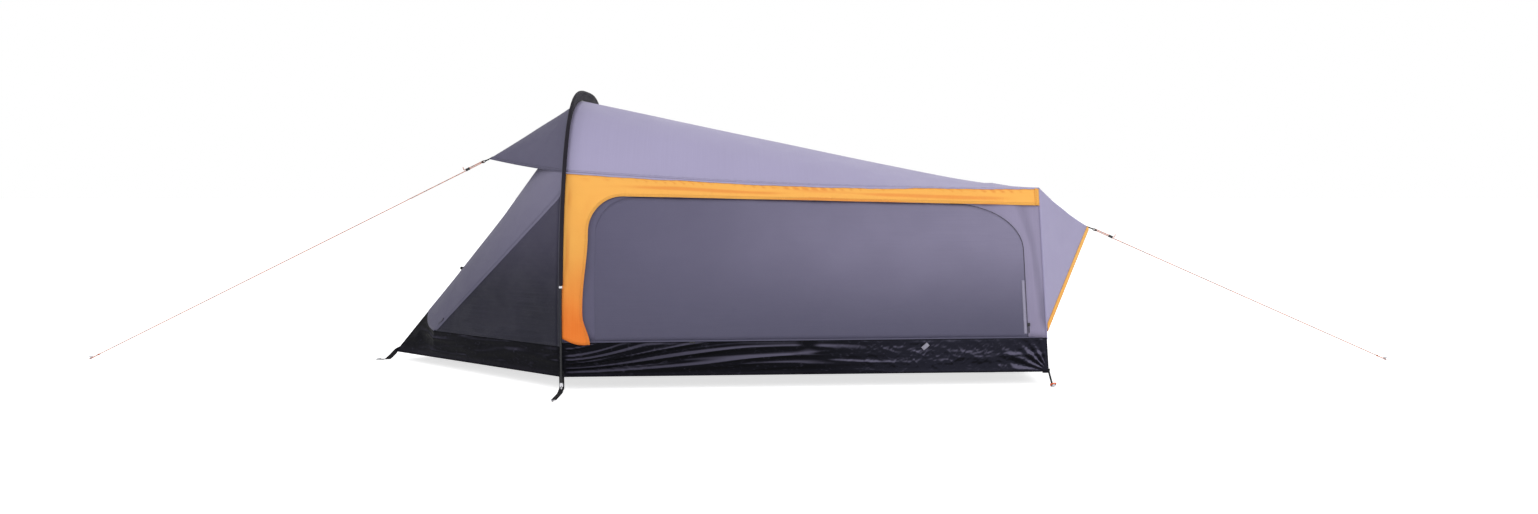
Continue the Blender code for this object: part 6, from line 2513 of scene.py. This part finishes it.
@dataclass
class Beak(SubAssembly):
    """The beak behind the rear corners and the orange binding on its edges."""

    binding_width: float = 0.029
    binding_thickness: float = 0.0012
    binding_start: float = 0.01
    binding_end: float = 0.975
    rim_radius: float = 0.0028
    seam_radius: float = 0.0024

    def cloth(self) -> None:
        """Make the beak's cloth."""

        def surface(u: float, v: float) -> Vector:
            """Point of the beak."""
            return self.shape.beak_point(2 * u - 1, 0.985 * v)

        def relief(u: float, v: float) -> float:
            """Height of the beak's soft folds.

            Args:
                u: Share of the way along.
                v: Share of the way across.

            Returns:
                The height.
            """
            place = surface(u, v)
            held = arc(v, 0.5) * smooth((1 - abs(2 * u - 1)) / 0.15)
            return held * 0.0022 * folds(Vector((place.x, 2.0 * place.y, place.z)), 6.0, 4.0)

        self.shop.cloth(
            "beak_cloth", [Patch(80, 40, surface, relief, (Border.START, Border.FINISH))], self.palette.roof,
            "stretched", ["beak"], rests_on=["roof", "guyline_rear"], inside=(1.9, 0.0, 0.4),
        )

    def binding(self, side: Side) -> None:
        """Make the tape folded over one rear edge, and the edge's rim.

        Args:
            side: The tent's side.
        """
        shape = self.shape
        edge_length = (shape.crease_point(0.6) - shape.crease_point(0.0)).length / 0.6
        start, end = self.binding_start, self.binding_end

        def surface(u: float, v: float) -> Vector:
            """Point of the tape.

            Args:
                u: Share of the way along.
                v: Share of the way across.

            Returns:
                The point.
            """
            t = mix(start, end, u)
            share = v * self.binding_width / (edge_length * (1 - t))
            inner = shape.beak_point(share - 1.0, t)
            forwards = shape.beak_point(-1.0, t + 0.01) - shape.beak_point(-1.0, t)
            out = forwards.cross(shape.beak_point(share - 0.99, t) - inner).normalized()
            off = 2 * shape.clearance + self.binding_thickness + 0.0006 * arc(v, 0.5)
            return turned_to(inner + (-out if out.y > 0 else out) * off, side.value)

        self.shop.cloth(
            f"beak_binding_tape_{side.label}", [Patch(70, 6, surface, None, (Border.LOWER, Border.UPPER))],
            self.palette.binding, "stretched", [f"beak_binding_{side.label}"], rests_on=["beak"],
            inside=(1.9, 0.0, 0.5), thickness=TAPE,
        )
        rim = [turned_to(shape.beak_point(-1.0, mix(start, end, k / 40)), side.value) for k in range(41)]
        self.shop.rope(f"beak_rim_{side.label}", rim, self.rim_radius, self.palette.binding)

    def seam(self, side: Side) -> None:
        """Make the rolled seam that joins the wall to the beak down a rear corner.

        Args:
            side: The tent's side.
        """
        shape = self.shape
        path = []
        for k in range(31):
            height = mix(shape.skirt_top - 0.004, shape.rear_top - 0.002, k / 30)
            half = side.value * (shape.rear_half(height) - 0.0028)
            path.append(Vector((shape.rear_x(height) + 0.0005, half, height)))
        self.shop.rope(f"rear_corner_seam_{side.label}", path, self.seam_radius, self.palette.roof, 2)

    def build(self) -> None:
        """Make the beak."""
        self.cloth()
        for side in Side:
            self.binding(side)
            self.seam(side)


# Poles


@dataclass
class Poles(SubAssembly):
    """The arch pole with its sleeve, clips and tips, and the corner struts."""

    sections: int = 7
    sleeve_cloth: float = 0.0008
    around: int = 20
    steps: int = 120
    clip_profile: Profile = (
        (0.0052, 0.005), (0.0078, 0.0042), (0.0082, 0.0), (0.0078, -0.0042), (0.0052, -0.005),
        (0.0052, 0.005),
    )

    def sleeve(self) -> None:
        """Make the sleeve of dense mesh with its fin, from one clip over the top to the other."""
        shape = self.shape
        foot = shape.arch_angle(shape.sleeve_end, shape.fly_height)

        def surface(u: float, v: float) -> Vector:
            """Point of the sleeve, which runs round the pole and down both sides of the fin.

            Args:
                u: Share of the way along.
                v: Share of the way across.

            Returns:
                The point.
            """
            seam, outward, depth = shape.sleeve_section(mix(foot, pi - foot, v))
            turn = tau * (u + 0.5 / self.around)
            radius = shape.sleeve_radius * (1 + 0.03 * folds(seam, 20.0, 3.0))
            x, out = radius * sin(turn), depth + radius * cos(turn)
            if cos(turn) < -0.75:
                near = smooth((-cos(turn) - 0.75) / 0.25)
                x = mix(x, copysign(1.5 * self.sleeve_cloth, x), near)
                out = mix(out, 2 * shape.clearance, near)
            return seam + outward * out + Vector((x, 0.0, 0.0))

        self.shop.cloth(
            "pole_sleeve_net", [Patch(self.around, self.steps, surface)], self.palette.sleeve, "stretched",
            ["pole_sleeve"], rests_on=["arch_pole_section_4"], thickness=THIN,
        )

    def clip(self, side: Side) -> None:
        """Make the bright clip at the end of the sleeve.

        Args:
            side: The tent's side.
        """
        shape = self.shape
        angle = shape.arch_angle(shape.sleeve_end, shape.pole_height)
        at, ahead = (
            shape.arch_point(angle + step, shape.pole_half_width, shape.pole_height) for step in (0.0, 0.01)
        )
        along = (ahead - at).normalized()
        place = turned_to(at - along * 0.006, side.value)
        piece = self.shop.turned(f"sleeve_clip_{side.label}", self.clip_profile, place)
        piece.rotation_mode = "QUATERNION"
        piece.rotation_quaternion = Z_AXIS.rotation_difference(turned_to(along, side.value))
        bpy.context.view_layer.update()
        self.shop.own(piece, self.palette.metal)

    def build(self) -> None:
        """Make the sleeve and the clips, and dress the poles."""
        self.sleeve()
        for side in Side:
            self.clip(side)
            self.shop.dress(f"pole_tip_{side.label}", self.palette.metal)
            self.shop.dress(f"corner_strut_{side.label}", self.palette.rod)
        for number in range(1, self.sections + 1):
            self.shop.dress(f"arch_pole_section_{number}", self.palette.pole)
        self.shop.dress("pole_shock_cord", self.palette.elastic)


# Straps, rings and pegs


@dataclass
class Anchors(SubAssembly):
    """The webbing at the feet, the orange rings and the pegs."""

    half_width: float = 0.010
    thickness: float = 0.0012
    sewn: float = 0.024
    arch_reach: float = 0.175
    front_reach: float = 0.092
    front_twist: float = 1.1
    stem: float = 0.0032
    tip_gap: float = 0.002
    rear_half_width: float = 0.004
    ring_radius: float = 0.011
    ring_wire: float = 0.0025
    ring_out: float = 0.035
    ring_back: float = 0.010
    ring_lift: float = 0.60
    ring_steps: tuple[int, int] = (40, 16)
    tab_half_width: float = 0.006
    tab_path: tuple[tuple[float, float], ...] = (
        (-0.026, 0.0016), (-0.010, 0.0018), (0.0012, 0.0014), (0.0016, -0.010),
    )
    tab_lift: float = 0.0008
    cap_profile: Profile = (
        (0.0048, 0.0345), (0.0064, 0.0338), (0.0068, 0.031), (0.0068, 0.022), (0.0060, 0.019),
        (0.0045, 0.0175), (0.0045, 0.0345),
    )

    def arch_strap(self, side: Side) -> None:
        """Make the webbing at a foot of the arch, from the hem under the tip to its peg.

        Args:
            side: The tent's side.
        """
        shape = self.shape
        ground = shape.clearance + self.thickness / 2
        hang = shape.fly_half(shape.hem) + shape.clearance + self.thickness
        seat = self.tip_gap + 2 * self.stem
        pole, end = shape.pole_half_width, shape.pole_half_width + self.arch_reach
        places = (
            (hang, shape.hem + self.sewn), (hang + 0.0004, shape.hem), (hang, seat + 0.012),
            (hang + 0.004, seat + 0.001), (pole + 2.5 * self.stem, seat),
            (pole + 7 * self.stem, mix(seat, ground, 0.6)), (pole + 12 * self.stem, ground),
            (mix(pole + 12 * self.stem, end, 0.5), ground), (end, ground),
        )
        self.shop.strap(
            f"arch_foot_webbing_{side.label}", [Vector((0.0, side.value * y, z)) for y, z in places],
            self.half_width, X_AXIS, replaced=[f"arch_foot_strap_{side.label}"],
            rests_on=[f"side_skirt_{side.label}"], round_end=True,
        )
        self.shop.dress(f"peg_arch_{side.label}", self.palette.peg)

    def tip_cap(self, side: Side) -> None:
        """Make the bright sleeve on the pole's tip, above the webbing."""
        place = Y_AXIS * (side.value * self.shape.pole_half_width)
        self.shop.own(self.shop.turned(f"tip_cap_{side.label}", self.cap_profile, place), self.palette.metal)

    def front_strap(self) -> None:
        """Make the webbing at the porch's tip."""
        shape = self.shape
        ground = shape.clearance + self.thickness / 2
        tip = Vector((shape.front_tip_x, 0.0, shape.front_tip_z))
        slope = (Vector((shape.panel_foot_x, 0.0, shape.panel_foot_z)) - tip).normalized()
        tip += Vector((-slope.z, 0.0, slope.x)) * (shape.clearance + self.thickness)
        path = [tip + slope * self.sewn, tip, tip - slope * self.half_width]
        path += [
            Vector((shape.front_tip_x - shape.front_tip_z, 0.0, ground + 0.003)),
            Vector((shape.front_tip_x - 1.5 * shape.front_tip_z, 0.0, ground)),
            Vector((shape.front_tip_x - self.front_reach, 0.0, ground)),
        ]
        self.shop.strap(
            "front_webbing", path, self.half_width, Y_AXIS, replaced=["front_strap"],
            rests_on=["front_skirt"], round_end=True, thickness=0.0020, twist=self.front_twist,
        )
        self.shop.dress("peg_front", self.palette.peg)

    def rear_corner(self, side: Side) -> None:
        """Make the strap below a rear corner, wrapped round its orange ring.

        Args:
            side: The tent's side.
        """
        shape = self.shape
        corner = Vector((shape.rear_foot_x, side.value * shape.rear_foot_half, shape.hem))
        away = Vector((self.ring_back, side.value * self.ring_out, 0.0))
        heading, centre = away.normalized(), corner + away
        bow = (self.ring_radius - sqrt(self.ring_radius**2 - self.rear_half_width**2)) / 2
        wrap = self.ring_wire + 2 * shape.clearance + self.thickness / 2 + bow
        centre.z = wrap + self.thickness / 2 + shape.clearance
        wire = centre - heading * (self.ring_radius - bow)
        off = side.value * (shape.clearance + self.thickness)
        sewn = corner + Vector((0.0, off, 3 * self.rear_half_width))
        below = corner + Vector((0.0, off, -self.rear_half_width / 2))
        lean = (below - wire).normalized()
        first = (heading - lean * heading.dot(lean)).normalized()
        turns = [wire + (first * cos(a) - lean * sin(a)) * wrap for a in (pi * k / 6 for k in range(7))]
        back = turns[-1] + lean * (self.ring_radius - self.rear_half_width / 2)
        across = Vector((-heading.y, heading.x, 0.0))
        self.shop.strap(
            f"rear_corner_webbing_{side.label}", [sewn, below] + turns + [back], self.rear_half_width, across,
            replaced=[f"rear_corner_strap_{side.label}"], thickness=TAPE,
            rests_on=[f"corner_ring_{side.label}"],
        )
        self.ring(side, centre, wire, across)
        self.tab(side, corner)
        self.shop.dress(f"peg_rear_{side.label}", self.palette.peg)

    def ring(self, side: Side, centre: Vector, wire: Vector, across: Vector) -> None:
        """Make the moulded orange ring, lifted round the strap that holds it.

        Args:
            side: The tent's side.
            centre: The ring's middle.
            wire: The middle of its wire inside the strap.
            across: The strap's direction across.
        """
        tilt = Matrix.Rotation(-self.ring_lift * side.value, 3, across * side.value)
        mesh = bmesh.new()
        steps, around = self.ring_steps
        for vertex in bmesh.ops.create_grid(mesh, x_segments=steps, y_segments=around, size=1.0)["verts"]:
            a, b = pi * (vertex.co.x + 1), pi * (vertex.co.y + 1)
            reach = self.ring_radius + self.ring_wire * cos(b)
            flat = Vector((reach * cos(a), reach * sin(a), self.ring_wire * sin(b)))
            vertex.co = wire + tilt @ (flat + centre - wire)
        bmesh.ops.remove_doubles(mesh, verts=mesh.verts, dist=1e-6)
        bmesh.ops.recalc_face_normals(mesh, faces=mesh.faces)
        piece = self.shop.shaped(f"ring_{side.label}", mesh)
        self.shop.own(piece, self.palette.ring, replaced=[f"corner_ring_{side.label}"])

    def tab(self, side: Side, corner: Vector) -> None:
        """Make the folded tab that reinforces the corner of the hem.

        Args:
            side: The tent's side.
            corner: The hem's corner.
        """
        self.shop.strap(
            f"corner_tab_{side.label}",
            [corner + Vector((x, y * side.value, self.tab_lift)) for x, y in self.tab_path],
            self.tab_half_width, Z_AXIS, thickness=0.0012, rests_on=[f"side_skirt_{side.label}"],
        )

    def build(self) -> None:
        """Make every strap and ring, and dress the pegs."""
        for side in Side:
            self.arch_strap(side)
            self.tip_cap(side)
            self.rear_corner(side)
        self.front_strap()
        for end in End:
            self.shop.dress(f"peg_guy_{end.value}", self.palette.peg)


# Inner tent


@dataclass
class InnerTent(SubAssembly):
    """The inner canopy, its mesh doors and the tub floor."""

    front_x: float = -0.120
    rear_x: float = 1.880
    front_half: float = 0.442
    rear_half: float = 0.372
    tub: float = 0.110
    tub_lean: float = 0.110
    eave_front: float = 0.680
    eave_rear: float = 0.640
    eave_lean: float = 0.085
    ridge_front: float = 0.990
    ridge_rear: float = 0.700
    front_slope: float = 0.130
    rear_slope: float = 0.030
    door_start: float = 0.18
    door_end: float = 0.86
    door_top: tuple[float, float] = (0.600, 0.570)
    door_sill: float = 0.020
    door_corner: float = 0.120
    hanger_places: tuple[float, ...] = (0.060, 0.900, 1.740)
    hanger_width: float = 0.012
    roof_sag: float = 0.010
    rim_width: float = 0.205
    rim_depth: float = 0.12
    counts: Counts = Counts(10, 12, 36)

    def wall_foot(self) -> float:
        """Height of the canopy's lower edge, just above the tub's rim."""
        lean = self.tub_lean / hypot(self.tub_lean, self.tub)
        return self.tub + self.shape.seam + self.shape.cloth * lean

    def x(self, s: float, height: float) -> float:
        """X of a section at a height."""
        rise = max(0.0, (height - self.tub) / (self.ridge_front - self.tub))
        return mix(self.front_x + self.front_slope * rise, self.rear_x - self.rear_slope * rise, s)

    def half(self, s: float) -> float:
        """Half width of the floor at a section."""
        return mix(self.front_half, self.rear_half, s)

    def eave(self, s: float) -> float:
        """Height of the eave."""
        return mix(self.eave_front, self.eave_rear, s)

    def wall_point(self, s: float, height: float, side: float) -> Vector:
        """Find a point of the side wall.

        Args:
            s: Share of the way from the front to the rear.
            height: The height.
            side: The sign of Y.

        Returns:
            The point.
        """
        rise = (height - self.tub) / (self.eave(s) - self.tub)
        half = self.half(s) + self.tub_lean - self.eave_lean * rise
        return Vector((self.x(s, height), side * half, height))

    def roof_point(self, s: float, angle: float) -> Vector:
        """Find a point of the roof.

        Args:
            s: Share of the way from the front to the rear.
            angle: 0 at the near eave, pi at the far one.

        Returns:
            The point.
        """
        half = self.half(s) + self.tub_lean - self.eave_lean
        low = self.eave(s)
        height = low + (mix(self.ridge_front, self.ridge_rear, s) - low) * sin(angle)
        return Vector((self.x(s, height), -half * cos(angle), height))

    def doorway(self, gap: float) -> Doorway:
        """Set out the doorway, smaller by gap.

        Args:
            gap: How far its edge is moved in.

        Returns:
            The doorway.
        """
        corner = (self.shape.along(self.door_corner), self.door_corner)
        share = self.shape.along(gap)
        return Doorway(
            self.door_start + share, self.door_end - share, self.tub + self.door_sill + gap, corner, corner,
            lambda s: mix(self.door_top[0], self.door_top[1], s) - gap, self.counts,
        )

    def canopy(self) -> None:
        """Make the walls round the doorways, the roof and the end walls, as one sheet."""
        doorway = self.doorway(0.0)
        bottom = self.wall_foot()
        inner, outer = doorway.outline(), doorway.frame(bottom, bottom, self.eave)
        patches = []
        for side in Side:

            def wall(u: float, v: float, side: Side = side) -> Vector:
                """Point of the wall."""
                return self.wall_point(*between(outer, inner, u, v), side.value)

            def sill(u: float, v: float, side: Side = side) -> Vector:
                """Point of the strip below the doorway."""
                s = mix(u, mix(inner[0][0], inner[-1][0], u), v)
                return self.wall_point(s, mix(bottom, inner[0][1], v), side.value)

            patches += [Patch(len(inner) - 1, 6, wall, hems=(Border.UPPER,)), Patch(30, 2, sill)]

        def sag(u: float, v: float) -> float:
            """How far the roof hangs between its hangers."""
            gap = min(abs(v - self.shape.along(x)) for x in self.hanger_places)
            return -self.roof_sag * arc(u) * smooth(gap / 0.15) * arc(v)

        patches.append(Patch(36, 60, lambda u, v: self.roof_point(v, pi * u), sag))
        for s in (0.0, 1.0):

            def end_wall(u: float, v: float, s: float = s) -> Vector:
                """Point of an end wall."""
                low = self.wall_point(s, mix(bottom, self.eave(s), v), 1.0)
                height = low.z + (self.roof_point(s, pi * u).z - self.eave(s)) * v
                return Vector((self.x(s, height), -low.y * cos(pi * u), height))

            patches.append(Patch(36, 24, end_wall))
        self.shop.cloth(
            "inner_canopy_cloth", patches, self.palette.inner, "hung", ["inner_canopy"], rests_on=["roof"],
            thickness=THIN,
        )

    def hangers(self) -> None:
        """Make the elastic hangers from the inner ridge to the roof."""
        for number, x in enumerate(self.hanger_places):
            top = self.shape.roof_point(self.shape.along(x), 0.0).z - 0.0035
            share = (x - self.front_x) / (self.rear_x - self.front_x)
            low = mix(self.ridge_front, self.ridge_rear, share) - 0.002
            path = [Vector((x, 0.0, mix(low, top, k / 4))) for k in range(5)]
            self.shop.strap(
                f"inner_hanger_{number}", path, self.hanger_width / 2, X_AXIS, thickness=TAPE,
                rests_on=["roof"],
            )

    def door(self, side: Side) -> None:
        """Make a mesh door.

        Args:
            side: The tent's side.
        """
        doorway = self.doorway(self.shape.seam)
        top = doorway.arch(doorway.outline())
        last = len(top) - 1

        def surface(u: float, v: float) -> Vector:
            """Point of the door."""
            s, height = top[round(u * last)]
            return self.wall_point(s, mix(doorway.bottom, height, v), side.value)

        def relief(u: float, v: float) -> float:
            """Height of the door's soft folds."""
            return 0.003 * folds(surface(u, v), 6.0) * arc(u) * arc(v)

        self.shop.cloth(
            f"inner_door_net_{side.label}", [Patch(last, 20, surface, relief, (Border.UPPER, Border.LOWER))],
            self.palette.net, "stretched", [f"inner_door_{side.label}"], body=f"inner_door_{side.label}_body",
            rests_on=["inner_canopy"], thickness=THIN,
        )

    def groundsheet(self) -> None:
        """Make the tub floor with its turned-up rim, flat on the ground."""

        def place(u: float, v: float) -> tuple[float, float, float]:
            """X, Y and share of the rim's height of a point of the floor.

            Args:
                u: Share of the way along.
                v: Share of the way across.

            Returns:
                The three values.
            """
            wide = self.half(mix(-0.004, 1.0, v)) + self.tub_lean
            x, y = mix(self.front_x, self.rear_x, v), (2 * u - 1) * wide
            side = max(0.0, 1 - (wide - abs(y)) / self.rim_width)
            end = max(0.0, 1 - min(x - self.front_x, self.rear_x - x) / self.rim_depth)
            return x, y, max(side, end) ** 1.6

        def surface(u: float, v: float) -> Vector:
            """Point of the floor."""
            x, y, rise = place(u, v)
            return Vector((x, y, self.tub * rise))

        def relief(u: float, v: float) -> float:
            """Height of the rim's soft folds.

            Args:
                u: Share of the way along.
                v: Share of the way across.

            Returns:
                The height.
            """
            x, y, rise = place(u, v)
            soft = 0.5 + 0.5 * folds(Vector((x, y, 0.0)), 7.0, 2.0)
            return -0.0015 * soft * smooth(rise / 0.3) * smooth((1 - rise) / 0.3)

        self.shop.cloth(
            "tub_floor_cloth", [Patch(64, 120, surface, relief)], self.palette.floor, "laid", ["groundsheet"],
            rests_on=["ground"], inside=(0.9, 0.0, 0.5), thickness=0.0007,
        )

    def build(self) -> None:
        """Make the inner tent."""
        self.canopy()
        self.hangers()
        self.groundsheet()
        for side in Side:
            self.door(side)


def main() -> None:
    """Make the camera and the cords, then the floor and light, then every other sub-assembly."""
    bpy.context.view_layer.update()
    studio = Studio()
    studio.camera()
    shape = TentShape()
    shop = Workshop(Palette())
    Guylines(shape, shop).build()
    studio.build()
    for kind in (Fly, Skirts, Porch, Beak, Poles, Anchors, InnerTent):
        kind(shape, shop).build()
        log.info("%s done", kind.__name__)


if __name__ == "__main__":
    logging.basicConfig(level=logging.INFO, format="%(name)s: %(message)s")
    main()
